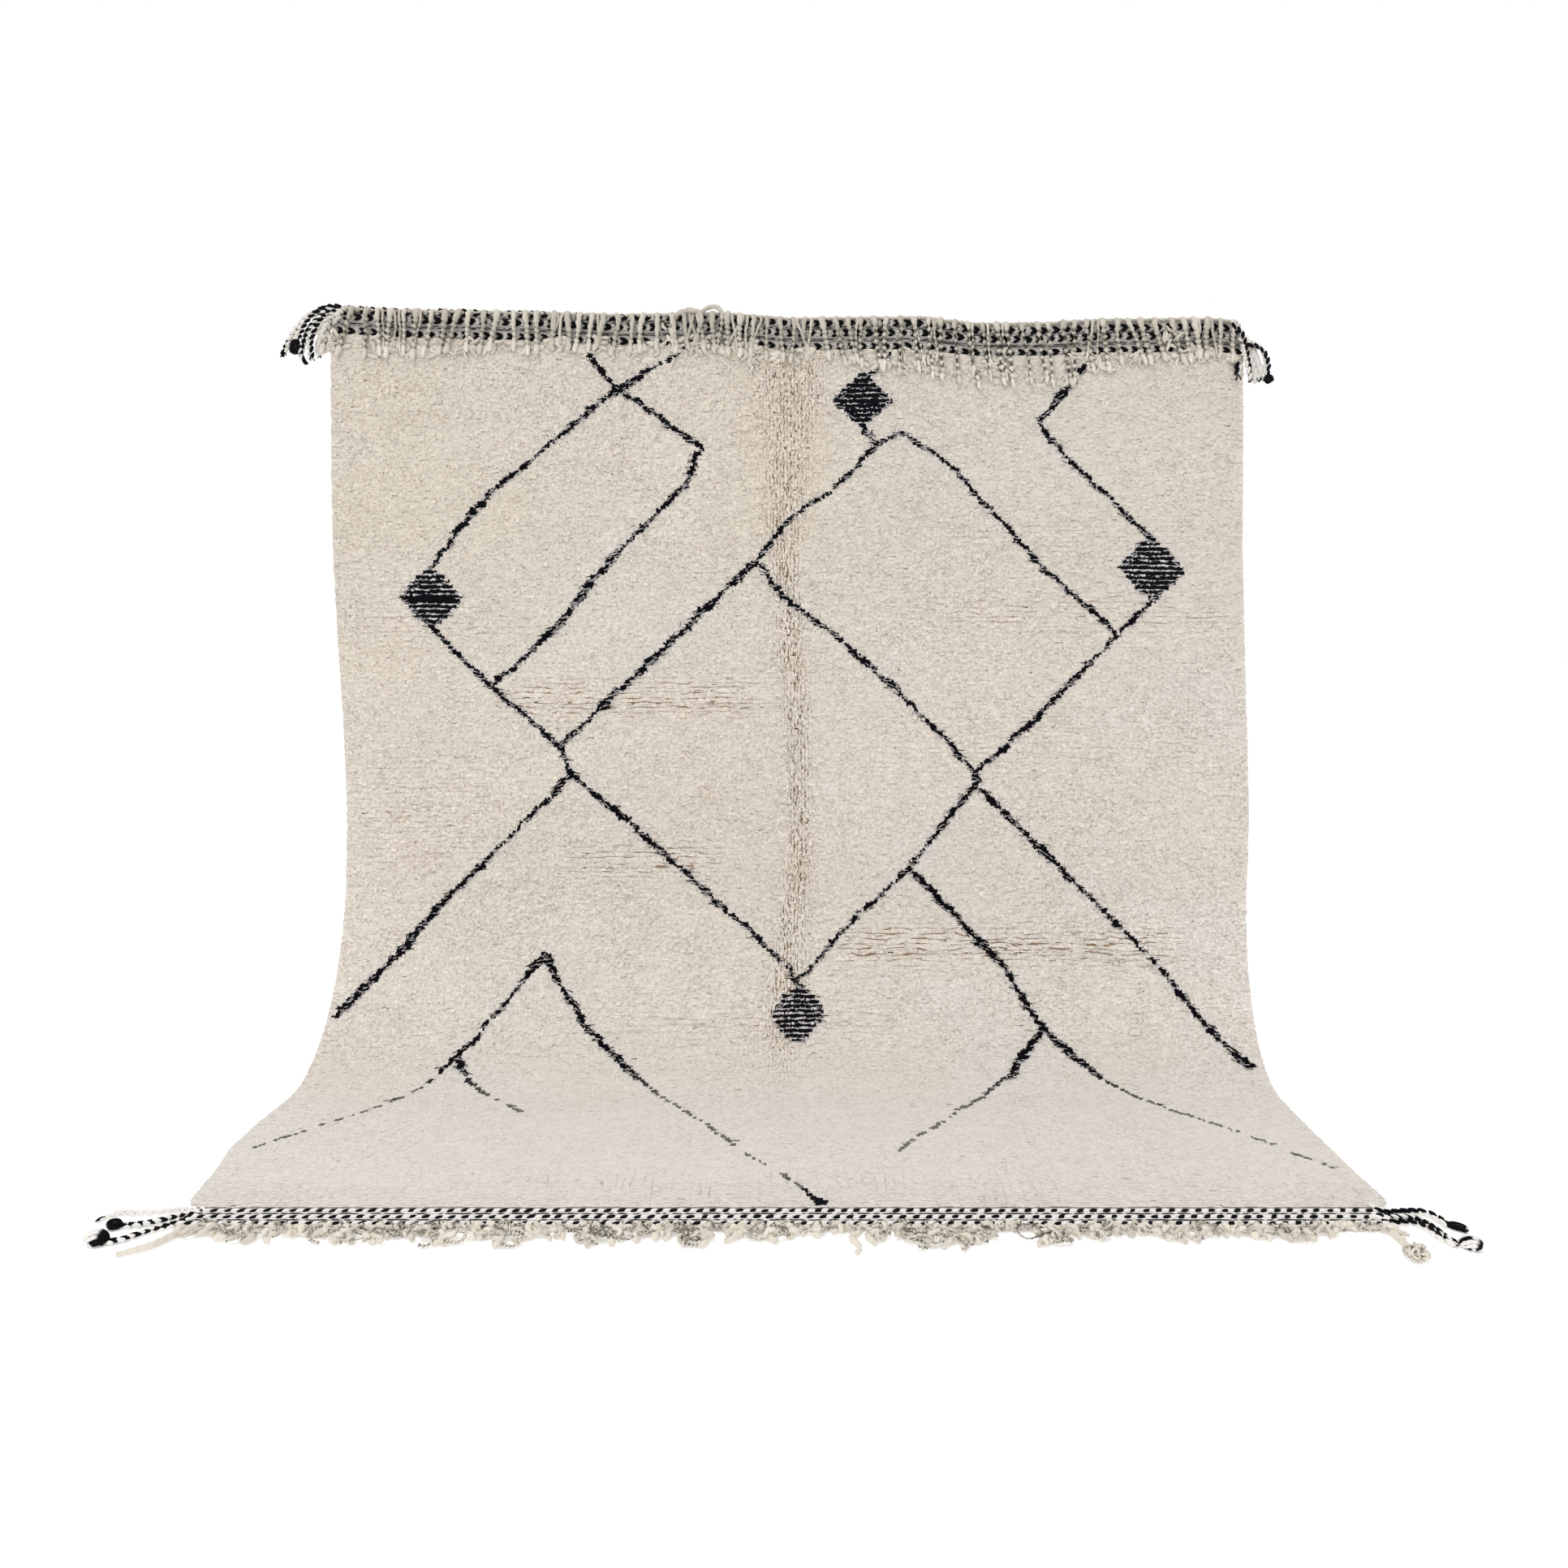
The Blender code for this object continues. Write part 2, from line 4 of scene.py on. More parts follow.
import bmesh
import bpy
import numpy as np
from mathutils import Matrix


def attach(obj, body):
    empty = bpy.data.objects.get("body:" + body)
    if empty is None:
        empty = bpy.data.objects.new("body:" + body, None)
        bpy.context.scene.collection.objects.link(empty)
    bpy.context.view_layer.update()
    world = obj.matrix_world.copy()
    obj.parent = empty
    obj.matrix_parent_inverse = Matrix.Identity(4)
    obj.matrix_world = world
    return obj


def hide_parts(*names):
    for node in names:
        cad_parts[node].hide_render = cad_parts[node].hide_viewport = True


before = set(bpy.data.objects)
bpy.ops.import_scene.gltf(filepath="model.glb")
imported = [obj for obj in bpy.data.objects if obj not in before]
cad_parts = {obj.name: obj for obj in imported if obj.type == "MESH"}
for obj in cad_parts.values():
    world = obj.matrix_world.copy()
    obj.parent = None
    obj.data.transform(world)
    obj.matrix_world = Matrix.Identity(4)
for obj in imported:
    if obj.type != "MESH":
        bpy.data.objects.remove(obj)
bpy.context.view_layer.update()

# The flat rug has three measures: across from its middle line, along from the upper edge of its
# top band, and lift off its bare back. drape() carries them to the hanging and lying cloth.
rug = {
    "middleX": 0.007,
    "hangY": 0.377,        # plane of the bare back
    "topZ": 1.642,
    "bendZ": 0.406,        # where the rug leaves that plane
    "bendDepth": 0.254,    # how far forward it is when it meets the floor
    "bendSteps": 240,
    "halfWidth": 1.0,
    "topBand": 0.069,
    "floorBand": 0.054,
    "floorRun": 0.364,     # pile that lies flat
    "pileThick": 0.016,
    "gap": 0.0003,
    "edgeReach": 0.70,     # the held edge's unevenness has faded out this far down
}

# sideways shift of the middle line and half width, down the rug
outline = (
    (0.00, 0.002, 1.000), (0.50, 0.005, 1.000), (0.70, 0.013, 1.001), (0.90, 0.023, 1.000),
    (1.10, 0.028, 1.000), (1.25, 0.024, 1.000), (1.40, 0.018, 1.000), (1.55, 0.010, 0.998),
    (1.70, 0.001, 0.997), (1.85, -0.009, 1.004), (1.95, -0.010, 1.005), (2.04, -0.001, 0.997),
    (2.115, 0.005, 1.001), (2.12, 0.003, 0.986), (2.30, 0.003, 0.984),
)

# rise of the held edge, across the rug
heldEdge = (
    (-1.00, 0.021), (-0.86, 0.012), (-0.55, 0.008), (-0.38, 0.002), (-0.14, 0.006), (0.00, -0.006),
    (0.30, -0.003), (0.42, -0.017), (0.56, -0.016), (0.68, -0.009), (0.94, -0.006), (1.00, -0.014),
)

# soft waves out of the plane: size, turns across, turns along, phase
waves = ((0.0045, 1.15, 0.55, 0.6), (0.0025, 2.40, 1.10, 2.1))


def ease(share):
    share = np.clip(share, 0.0, 1.0)
    return share * share * (3.0 - 2.0 * share)


def readTable(table, place, column=1):
    return np.interp(place, [row[0] for row in table], [row[column] for row in table])


def lying(along, start=1.66, fade=0.12):
    # 0 where the rug hangs, 1 where it lies
    return ease((along - start) / fade)


def sweepCurve():
    turn = np.linspace(0.0, math.pi / 2, rug["bendSteps"])
    forward = rug["bendDepth"] * (1.0 - np.cos(turn))
    height = rug["bendZ"] * (1.0 - np.sin(turn))
    steps = np.hypot(np.diff(forward), np.diff(height))
    along = rug["topZ"] - rug["bendZ"] + np.concatenate(([0.0], np.cumsum(steps)))
    return along, forward, height


sweep = sweepCurve()
bendStart, bendEnd = sweep[0][0], sweep[0][-1]
pileStart = rug["topBand"] + rug["gap"]
pileEnd = bendEnd + rug["floorRun"]
bandStart = pileEnd + rug["gap"]
bandEnd = bandStart + rug["floorBand"]
outOfWall, upwards = (0.0, -1.0, 0.0), (0.0, 0.0, 1.0)      # the pile's side, hanging and lying
farAway = 9.0            # further than anything on the rug


def waveLift(across, along):
    quiet = np.sin(math.pi * np.clip(along / bendStart, 0.0, 1.0))
    lift = 0.0
    for size, acrossTurns, alongTurns, phase in waves:
        lift = lift + size * np.sin(2 * math.pi * (across * acrossTurns + along * alongTurns) + phase)
    return lift * quiet


def drape(across, along, lift):
    across, along, lift = np.broadcast_arrays(across, along, lift)
    lift = lift + waveLift(across, along)
    forward = np.interp(along, sweep[0], sweep[1])
    height = np.interp(along, sweep[0], sweep[2]) + np.maximum(bendStart - along, 0.0)
    turn = np.arccos(np.clip(1.0 - forward / rug["bendDepth"], -1.0, 1.0))
    runForward, runDown = rug["bendDepth"] * np.sin(turn), rug["bendZ"] * np.cos(turn)
    size = np.hypot(runForward, runDown)
    forward = forward + np.maximum(along - bendEnd, 0.0) + runDown / size * lift
    height = height + runForward / size * lift
    height = height + readTable(heldEdge, across) * (1.0 - ease(along / rug["edgeReach"]))
    aside = np.sign(across) * np.maximum(np.abs(across) - rug["halfWidth"], 0.0)
    x = (across - aside) * readTable(outline, along, 2) + aside + readTable(outline, along)
    return np.stack((rug["middleX"] + x, rug["hangY"] - forward, height), axis=-1)


def drapePath(flat):
    return drape(flat[..., 0], flat[..., 1], flat[..., 2])


def softNoise(across, along, cellAcross, cellAlong, seed):
    # smooth random field over the flat rug, from -1 to 1
    chance = np.random.default_rng(seed)
    grid = chance.uniform(-1.0, 1.0, (int(2.8 / cellAlong) + 3, int(2.8 / cellAcross) + 3))
    x, y = (across + 1.3) / cellAcross, (along + 0.3) / cellAlong
    i, j = np.floor(x).astype(int), np.floor(y).astype(int)
    u, v = ease(x - i), ease(y - j)
    upper = grid[j, i] * (1.0 - u) + grid[j, i + 1] * u
    lower = grid[j + 1, i] * (1.0 - u) + grid[j + 1, i + 1] * u
    return upper * (1.0 - v) + lower * v


def clumpPull(across, along, cellAcross, cellAlong, seed):
    # way from each place to the middle of the clump of wool that it belongs to
    chance = np.random.default_rng(seed)
    shifts = chance.uniform(0.05, 0.95, (2, int(2.9 / cellAlong) + 4, int(2.9 / cellAcross) + 4))
    x, y = (across + 1.3) / cellAcross + 1.0, (along + 0.3) / cellAlong + 1.0
    i, j = np.floor(x).astype(int), np.floor(y).astype(int)
    nearest, pullX, pullY = np.full(x.shape, farAway), np.zeros(x.shape), np.zeros(x.shape)
    for column in (i - 1, i, i + 1):
        for row in (j - 1, j, j + 1):
            wayX = column + shifts[0, row, column] - x
            wayY = row + shifts[1, row, column] - y
            closer = np.hypot(wayX, wayY) < nearest
            nearest = np.where(closer, np.hypot(wayX, wayY), nearest)
            pullX, pullY = np.where(closer, wayX, pullX), np.where(closer, wayY, pullY)
    return pullX * cellAcross, pullY * cellAlong


def shapeData(mesh):
    # points and faces of a small finished shape, which is then placed many times; every placing
    # mirrors it, so its faces are turned first
    bmesh.ops.recalc_face_normals(mesh, faces=mesh.faces[:])
    bmesh.ops.reverse_faces(mesh, faces=mesh.faces[:])
    mesh.verts.index_update()
    points = np.array([vert.co[:] for vert in mesh.verts])
    faces = [[vert.index for vert in face.verts] for face in mesh.faces]
    mesh.free()
    return {"points": points, "faces": faces}


def yarnBar(sides, steps):
    # straight closed bar along Z, one unit long and two across
    mesh = bmesh.new()
    bmesh.ops.create_circle(mesh, cap_ends=True, segments=sides, radius=1.0)
    face = mesh.faces[:][0]
    for step in range(steps):
        face = bmesh.ops.extrude_discrete_faces(mesh, faces=[face])["faces"][0]
        bmesh.ops.translate(mesh, verts=face.verts[:], vec=(0.0, 0.0, 1.0 / steps))
    bmesh.ops.holes_fill(mesh, edges=mesh.edges[:], sides=sides)
    return shapeData(mesh)


def linkObject(name, data):
    piece = bpy.data.objects.new(name, data)
    bpy.context.scene.collection.objects.link(piece)
    return piece


def joinCopies(name, parts, material, attributes, maps=()):
    # one mesh of many placed copies; a part has its shape, its points, its attributes and maps
    vertexCount = 0
    points, corners, sizes = [], [], []
    for part in parts:
        copies, verts = part["points"].shape[:2]
        shapeCorners = np.concatenate([np.array(face) for face in part["shape"]["faces"]])
        offsets = vertexCount + verts * np.arange(copies)
        corners.append((shapeCorners[None, :] + offsets[:, None]).ravel())
        sizes.append(np.tile([len(face) for face in part["shape"]["faces"]], copies))
        points.append(part["points"].reshape(-1, 3))
        vertexCount += copies * verts
    points, corners, sizes = (np.concatenate(rows) for rows in (points, corners, sizes))
    mesh = bpy.data.meshes.new(name)
    mesh.vertices.add(vertexCount)
    mesh.vertices.foreach_set("co", points.astype(np.float32).ravel())
    mesh.loops.add(len(corners))
    mesh.loops.foreach_set("vertex_index", corners.astype(np.int32))
    mesh.polygons.add(len(sizes))
    starts = np.concatenate(([0], np.cumsum(sizes)[:-1]))
    mesh.polygons.foreach_set("loop_start", starts.astype(np.int32))
    mesh.update(calc_edges=True)
    mesh.validate()
    mesh.shade_smooth()
    for attribute in attributes:
        values = [np.broadcast_to(part.get(attribute, 0.0), part["points"].shape[:2]).ravel()
                  for part in parts]
        layer = mesh.attributes.new(attribute, "FLOAT", "POINT")
        layer.data.foreach_set("value", np.concatenate(values).astype(np.float32))
    for mapName in maps:
        values = np.concatenate([part[mapName].reshape(-1, 2) for part in parts])
        layer = mesh.uv_layers.new(name=mapName)
        layer.data.foreach_set("uv", values[corners].astype(np.float32).ravel())
    mesh.materials.append(material)
    return linkObject(name, mesh)


def smoothPath(points, count):
    # even steps of a smooth curve through each row of points
    points = np.asarray(points, float)
    before = 2 * points[:, :1] - points[:, 1:2]
    after = 2 * points[:, -1:] - points[:, -2:-1]
    padded = np.concatenate((before, points, after), axis=1)
    place = np.linspace(0.0, points.shape[1] - 1 - 1e-9, count)
    i = place.astype(int)
    t = (place - i)[None, :, None]
    a, b, c, d = (padded[:, i + number] for number in range(4))
    return 0.5 * (2 * b + (c - a) * t + (2 * a - 5 * b + 4 * c - d) * t * t
                  + (3 * b - a - 3 * c + d) * t ** 3)


def unit(vectors):
    return vectors / np.maximum(np.linalg.norm(vectors, axis=-1, keepdims=True), 1e-12)


def bendYarn(shape, paths, outwards, wide, thin, twist=0.0, pinch=0.0):
    # bends copies of a straight bar along paths; wide and thin are half sizes at each ring
    steps = paths.shape[1] - 1
    ring = np.rint(shape["points"][:, 2] * steps).astype(int)
    run = unit(np.gradient(paths, axis=1))
    side = unit(np.cross(run, np.broadcast_to(outwards, run.shape)))
    rise = np.cross(side, run)
    angle = np.arctan2(shape["points"][:, 1], shape["points"][:, 0])
    size = np.hypot(shape["points"][:, 0], shape["points"][:, 1]) * (1 - pinch * np.sin(angle) ** 2)
    wide = np.broadcast_to(wide, paths.shape[:2])[:, ring]
    thin = np.broadcast_to(thin, paths.shape[:2])[:, ring]
    turned = angle + np.broadcast_to(twist, paths.shape[:2])[:, ring]
    return (paths[:, ring] + side[:, ring] * (wide * size * np.cos(turned))[..., None]
            + rise[:, ring] * (thin * size * np.sin(turned))[..., None])


# Shader node helpers and shared effects

def addNode(tree, kind, inputs=None, **settings):
    # each input is another node's output or a plain value
    node = tree.nodes.new(kind)
    for name, value in settings.items():
        setattr(node, name, value)
    for name, value in (inputs or {}).items():
        if isinstance(value, bpy.types.NodeSocket):
            tree.links.new(value, node.inputs[name])
        else:
            node.inputs[name].default_value = value
    return node


def mathNode(tree, operation, *values):
    return addNode(tree, "ShaderNodeMath", dict(enumerate(values)), operation=operation).outputs[0]


def scaleVector(tree, vector, scale):
    inputs = {0: vector, "Scale": scale}
    return addNode(tree, "ShaderNodeVectorMath", inputs, operation="SCALE").outputs[0]


def swingNode(tree, value, size):
    # turns a share from 0 to 1 into a swing about 0
    return mathNode(tree, "MULTIPLY", mathNode(tree, "SUBTRACT", value, 0.5), size)


def mixColour(tree, factor, first, second):
    inputs = {0: factor, 6: first, 7: second}
    return addNode(tree, "ShaderNodeMix", inputs, data_type="RGBA").outputs[2]


def readAttribute(tree, name):
    return addNode(tree, "ShaderNodeAttribute", attribute_name=name).outputs["Fac"]


def startGroup(name, inputs, outputs):
    group = bpy.data.node_groups.new(name, "ShaderNodeTree")
    for title, kind, value in inputs:
        socket = group.interface.new_socket(title, in_out="INPUT", socket_type=kind)
        if value is not None:
            socket.default_value = value
    for title, kind in outputs:
        group.interface.new_socket(title, in_out="OUTPUT", socket_type=kind)
    return group, group.nodes.new("NodeGroupInput"), group.nodes.new("NodeGroupOutput")


def woolFibreGroup():
    # fine fibres and soft mottling, for every yarn and for the pile
    group, start, end = startGroup(
        "woolFibre",
        (("Place", "NodeSocketVector", None), ("Colour", "NodeSocketColor", (0.7, 0.65, 0.58, 1.0)),
         ("Fibre Size", "NodeSocketFloat", 0.002), ("Fibre Shade", "NodeSocketFloat", 0.15),
         ("Mottle Size", "NodeSocketFloat", 0.05), ("Mottle Shade", "NodeSocketFloat", 0.06)),
        (("Colour", "NodeSocketColor"), ("Height", "NodeSocketFloat")))
    place = start.outputs["Place"]
    fibreScale = mathNode(group, "DIVIDE", 1.0, start.outputs["Fibre Size"])
    mottleScale = mathNode(group, "DIVIDE", 1.0, start.outputs["Mottle Size"])
    fibre = addNode(group, "ShaderNodeTexNoise", {"Vector": place, "Scale": fibreScale, "Detail": 3.0,
                                                  "Roughness": 0.65, "Distortion": 0.4})
    mottle = addNode(group, "ShaderNodeTexNoise", {"Vector": place, "Scale": mottleScale, "Detail": 2.0,
                                                   "Roughness": 0.5})
    fibreSwing = swingNode(group, fibre.outputs["Fac"], start.outputs["Fibre Shade"])
    mottleSwing = swingNode(group, mottle.outputs["Fac"], start.outputs["Mottle Shade"])
    shade = mathNode(group, "ADD", 1.0, mathNode(group, "ADD", fibreSwing, mottleSwing))
    group.links.new(scaleVector(group, start.outputs["Colour"], shade), end.inputs["Colour"])
    group.links.new(fibre.outputs["Fac"], end.inputs["Height"])
    return group


def woolCracksGroup():
    # thin cracks where a noise passes its middle value, or in rows where a count of rows is added to
    # it; patchy and broken into dashes
    group, start, end = startGroup(
        "woolCracks",
        (("Place", "NodeSocketVector", None), ("Row", "NodeSocketFloat", 0.0),
         ("Swing", "NodeSocketFloat", 1.0), ("Size", "NodeSocketFloat", 0.008),
         ("Thin", "NodeSocketFloat", 0.05), ("Patchy", "NodeSocketFloat", 1.0),
         ("Broken", "NodeSocketFloat", 1.0)),
        (("Crack", "NodeSocketFloat"),))
    place = start.outputs["Place"]
    scale = mathNode(group, "DIVIDE", 1.0, start.outputs["Size"])
    wander = addNode(group, "ShaderNodeTexNoise",
                     {"Vector": place, "Scale": mathNode(group, "MULTIPLY", scale, 0.62),
                      "Detail": 1.0, "Roughness": 0.5, "Distortion": 0.7})
    swung = mathNode(group, "MULTIPLY", wander.outputs["Fac"], start.outputs["Swing"])
    turn = mathNode(group, "FRACT", mathNode(group, "ADD", swung, start.outputs["Row"]))
    away = mathNode(group, "ABSOLUTE", mathNode(group, "SUBTRACT", turn, 0.5))
    crack = addNode(group, "ShaderNodeMapRange",
                    {"Value": away, "From Min": 0.0, "From Max": start.outputs["Thin"],
                     "To Min": 1.0, "To Max": 0.0}).outputs["Result"]
    # for each loss, the scale of its patches against the cracks', and where they begin and are whole
    for title, share, low, high in (("Patchy", 0.13, 0.40, 0.62), ("Broken", 1.10, 0.46, 0.56)):
        cells = addNode(group, "ShaderNodeTexNoise",
                        {"Vector": place, "Scale": mathNode(group, "MULTIPLY", scale, share)})
        kept = addNode(group, "ShaderNodeMapRange",
                       {"Value": cells.outputs["Fac"], "From Min": low, "From Max": high})
        missing = mathNode(group, "SUBTRACT", 1.0, kept.outputs["Result"])
        lost = mathNode(group, "MULTIPLY", start.outputs[title], missing)
        crack = mathNode(group, "MULTIPLY", crack, mathNode(group, "SUBTRACT", 1.0, lost))
    group.links.new(crack, end.inputs["Crack"])
    return group


def knotWeaveGroup():
    # rows of knot backs between wefts, on a map in metres across and along
    group, start, end = startGroup(
        "knotWeave",
        (("Place", "NodeSocketVector", None), ("Across Pitch", "NodeSocketFloat", 0.006),
         ("Along Pitch", "NodeSocketFloat", 0.006)),
        (("Height", "NodeSocketFloat"), ("Groove", "NodeSocketFloat")))
    parts = addNode(group, "ShaderNodeSeparateXYZ", {"Vector": start.outputs["Place"]})
    humps = []
    for axis, pitch in (("X", "Across Pitch"), ("Y", "Along Pitch")):
        turns = mathNode(group, "DIVIDE", parts.outputs[axis], start.outputs[pitch])
        angle = mathNode(group, "MULTIPLY", turns, math.pi)
        humps.append(mathNode(group, "ABSOLUTE", mathNode(group, "SINE", angle)))
    height = mathNode(group, "MULTIPLY", mathNode(group, "ADD", 0.35, humps[0]), humps[1])
    groove = mathNode(group, "SUBTRACT", 1.0, mathNode(group, "POWER", humps[1], 0.5))
    group.links.new(height, end.inputs["Height"])
    group.links.new(groove, end.inputs["Groove"])
    return group


woolFibre = woolFibreGroup()
woolCracks = woolCracksGroup()
knotWeave = knotWeaveGroup()


def startMaterial(name):
    material = bpy.data.materials.new(name)
    material.use_nodes = True
    tree = material.node_tree
    return material, tree, tree.nodes["Principled BSDF"]


def placeWool(tree, shader, colour, look, extraHeight=None):
    # puts the fibres over a colour and a height, and feeds the shader
    place = addNode(tree, "ShaderNodeTexCoord").outputs["Object"]
    inputs = {"Place": place, "Colour": colour,
              "Fibre Size": look["fibreSize"], "Fibre Shade": look["fibreShade"],
              "Mottle Size": look["mottleSize"], "Mottle Shade": look["mottleShade"]}
    wool = addNode(tree, "ShaderNodeGroup", inputs, node_tree=woolFibre)
    tree.links.new(wool.outputs["Colour"], shader.inputs["Base Color"])
    height = wool.outputs["Height"]
    if extraHeight is not None:
        height = mathNode(tree, "ADD", height, extraHeight)
    bump = addNode(tree, "ShaderNodeBump",
                   {"Strength": look["bump"], "Distance": look["bumpDepth"], "Height": height})
    tree.links.new(bump.outputs["Normal"], shader.inputs["Normal"])
    for title, key in (("Roughness", "roughness"), ("Sheen Weight", "sheen"),
                       ("Sheen Roughness", "sheenRoughness"), ("Specular IOR Level", "specular")):
        shader.inputs[title].default_value = look[key]


pileLook = {
    "cool": (0.646, 0.612, 0.574, 1.0),
    "warm": (0.650, 0.590, 0.510, 1.0),
    "deep": (0.58, 0.46, 0.32, 1.0),        # painted shade between the tufts, down their sides
    "crease": (0.76, 0.67, 0.55, 1.0),      # where a fold has opened the pile
    # painted shade in the cracks between the tufts
    "crack": (0.26, 0.175, 0.110, 1.0),
    "black": (0.004, 0.004, 0.006, 1.0),
    "halo": (0.56, 0.55, 0.56, 1.0),        # ivory greyed by mingled black fibres and by painted shade
    "toneSwing": 0.040,
    "openShade": 0.06,                      # how much the crease's own colour shows
    "grainSize": 0.0054, "grainShade": 0.84, "grainRelief": 1.6,
    "fibreSize": 0.0016, "fibreShade": 0.22, "mottleSize": 0.16, "mottleShade": 0.04,
    "bump": 0.6, "bumpDepth": 0.0012, "roughness": 0.95, "sheen": 0.01, "specular": 0.06,
    "sheenRoughness": 0.6,
}
# painted shade in thin cracks all over, in the lengthwise fold, where rows part and along the floor end:
# the attribute that holds their share, size, stretch, rows a metre along each axis, swing, thin, patchy,
# broken, strength
crackKinds = (
    ("grit", 0.0072, (0.70, 1.0, 1.0), (0.0, 0.0, 0.0), 1.0, 0.095, 0.70, 1.00, 0.38),
    ("crease", 0.0054, (1.0, 1.0, 0.46), (128.0, 0.0, 0.0), 2.2, 0.235, 0.05, 0.80, 3.40),
    ("slit", 0.0100, (0.25, 1.0, 1.0), (0.0, 0.0, 90.0), 1.7, 0.150, 0.05, 0.80, 2.00),
    ("runs", 0.0080, (1.0, 0.24, 1.0), (60.0, 0.0, 0.0), 1.6, 0.100, 0.60, 0.80, 0.60),
)


def pileMaterial():
    material, tree, shader = startMaterial("pileWool")
    ivory = mixColour(tree, readAttribute(tree, "warmth"), pileLook["cool"], pileLook["warm"])
    opened = mathNode(tree, "MULTIPLY", readAttribute(tree, "crease"), pileLook["openShade"])
    ivory = mixColour(tree, opened, ivory, pileLook["crease"])
    ivory = mixColour(tree, readAttribute(tree, "halo"), ivory, pileLook["halo"])
    place = addNode(tree, "ShaderNodeTexCoord").outputs["Object"]
    grain = addNode(tree, "ShaderNodeTexNoise", {"Vector": place, "Scale": 1.0 / pileLook["grainSize"],
                                                 "Detail": 2.0, "Roughness": 0.6}).outputs["Fac"]
    cracks = 0.0
    for name, size, stretch, rows, swing, thin, patchy, broken, strength in crackKinds:
        stretched = addNode(tree, "ShaderNodeVectorMath", {0: place, 1: stretch}, operation="MULTIPLY")
        counted = addNode(tree, "ShaderNodeVectorMath", {0: place, 1: rows}, operation="DOT_PRODUCT")
        inputs = {"Place": stretched.outputs[0], "Row": counted.outputs["Value"], "Swing": swing,
                  "Size": size, "Thin": thin, "Patchy": patchy, "Broken": broken}
        wool = addNode(tree, "ShaderNodeGroup", inputs, node_tree=woolCracks)
        share = mathNode(tree, "MULTIPLY", readAttribute(tree, name), strength)
        crack = mathNode(tree, "MULTIPLY", wool.outputs["Crack"], share)
        cracks = mathNode(tree, "MAXIMUM", cracks, crack)
    # painted shade in the cracks; the same cracks also sink the bump below
    ivory = mixColour(tree, cracks, ivory, pileLook["crack"])
    # painted shade: the tufts' sides darken towards their roots, where shade falls between them
    ivory = mixColour(tree, readAttribute(tree, "rootShade"), ivory, pileLook["deep"])
    toneSwing = mathNode(tree, "MULTIPLY", readAttribute(tree, "tone"), pileLook["toneSwing"])
    grainSwing = swingNode(tree, grain, pileLook["grainShade"])
    grainSwing = mathNode(tree, "MULTIPLY", grainSwing, readAttribute(tree, "grit"))
    shade = mathNode(tree, "ADD", 1.0, mathNode(tree, "ADD", toneSwing, grainSwing))
    toned = scaleVector(tree, ivory, shade)
    colour = mixColour(tree, readAttribute(tree, "ink"), toned, pileLook["black"])
    raised = mathNode(tree, "MULTIPLY", grain, pileLook["grainRelief"])
    placeWool(tree, shader, colour, pileLook, mathNode(tree, "SUBTRACT", raised, cracks))
    return material


clothLook = {
    "back": (0.60, 0.545, 0.47, 1.0),
    "groove": (0.36, 0.31, 0.25, 1.0),
    "acrossPitch": 0.0056, "alongPitch": 0.0054,      # of the knots' backs
    "fibreSize": 0.0012, "fibreShade": 0.25, "mottleSize": 0.2, "mottleShade": 0.10,
    "bump": 0.8, "bumpDepth": 0.0016, "roughness": 0.9, "sheen": 0.04, "specular": 0.2,
    "sheenRoughness": 0.6,
}


def clothMaterial():
    material, tree, shader = startMaterial("groundCloth")
    plan = addNode(tree, "ShaderNodeUVMap", uv_map="plan").outputs[0]
    inputs = {"Place": plan, "Across Pitch": clothLook["acrossPitch"],
              "Along Pitch": clothLook["alongPitch"]}
    weave = addNode(tree, "ShaderNodeGroup", inputs, node_tree=knotWeave)
    colour = mixColour(tree, weave.outputs["Groove"], clothLook["back"], clothLook["groove"])
    placeWool(tree, shader, colour, clothLook, weave.outputs["Height"])
    return material


twineLook = {
    "white": (0.87, 0.845, 0.81, 1.0),
    "greyAndShade": (0.60, 0.57, 0.52, 1.0),        # the white yarn of the hung end, greyer and with painted shade
    "black": (0.004, 0.004, 0.006, 1.0),
    "fibreSize": 0.0016, "fibreShade": 0.22, "mottleSize": 0.04, "mottleShade": 0.10,
    "bump": 0.5, "bumpDepth": 0.0006, "roughness": 0.9, "sheen": 0.01, "specular": 0.08,
    "sheenRoughness": 0.6,
}


def twineMaterial():
    material, tree, shader = startMaterial("twinedYarn")
    # the hung end's white is partly greyer wool and partly painted shade
    white = mixColour(tree, readAttribute(tree, "greyAndShade"), twineLook["white"], twineLook["greyAndShade"])
    colour = mixColour(tree, readAttribute(tree, "ink"), white, twineLook["black"])
    placeWool(tree, shader, colour, twineLook)
    return material


fringeLook = {
    # the painted-shade colour of the fringe yarn, greyer as well; each yarn mixes it with ivory by its
    # tone
    "greyAndShade": (0.455, 0.420, 0.355, 1.0),
    "ivory": (0.82, 0.76, 0.665, 1.0),
    "fibreSize": 0.0016, "fibreShade": 0.25, "mottleSize": 0.03, "mottleShade": 0.14,
    "bump": 0.7, "bumpDepth": 0.0008, "roughness": 0.92, "sheen": 0.02, "specular": 0.1,
    "sheenRoughness": 0.6,
}


def fringeMaterial():
    material, tree, shader = startMaterial("fringeYarn")
    # painted shade: a low tone makes a yarn darker, as if in shadow
    colour = mixColour(tree, readAttribute(tree, "tone"), fringeLook["greyAndShade"], fringeLook["ivory"])
    placeWool(tree, shader, colour, fringeLook)
    return material


print("materials")
pileWool = pileMaterial()
groundWool = clothMaterial()
twinedYarn = twineMaterial()
fringeYarn = fringeMaterial()

# Ground cloth: the woven foundation of the whole rug, from band to band

cloth = {
    "thick": 0.004,
    "acrossLines": 45,
    "alongLines": 85,
}


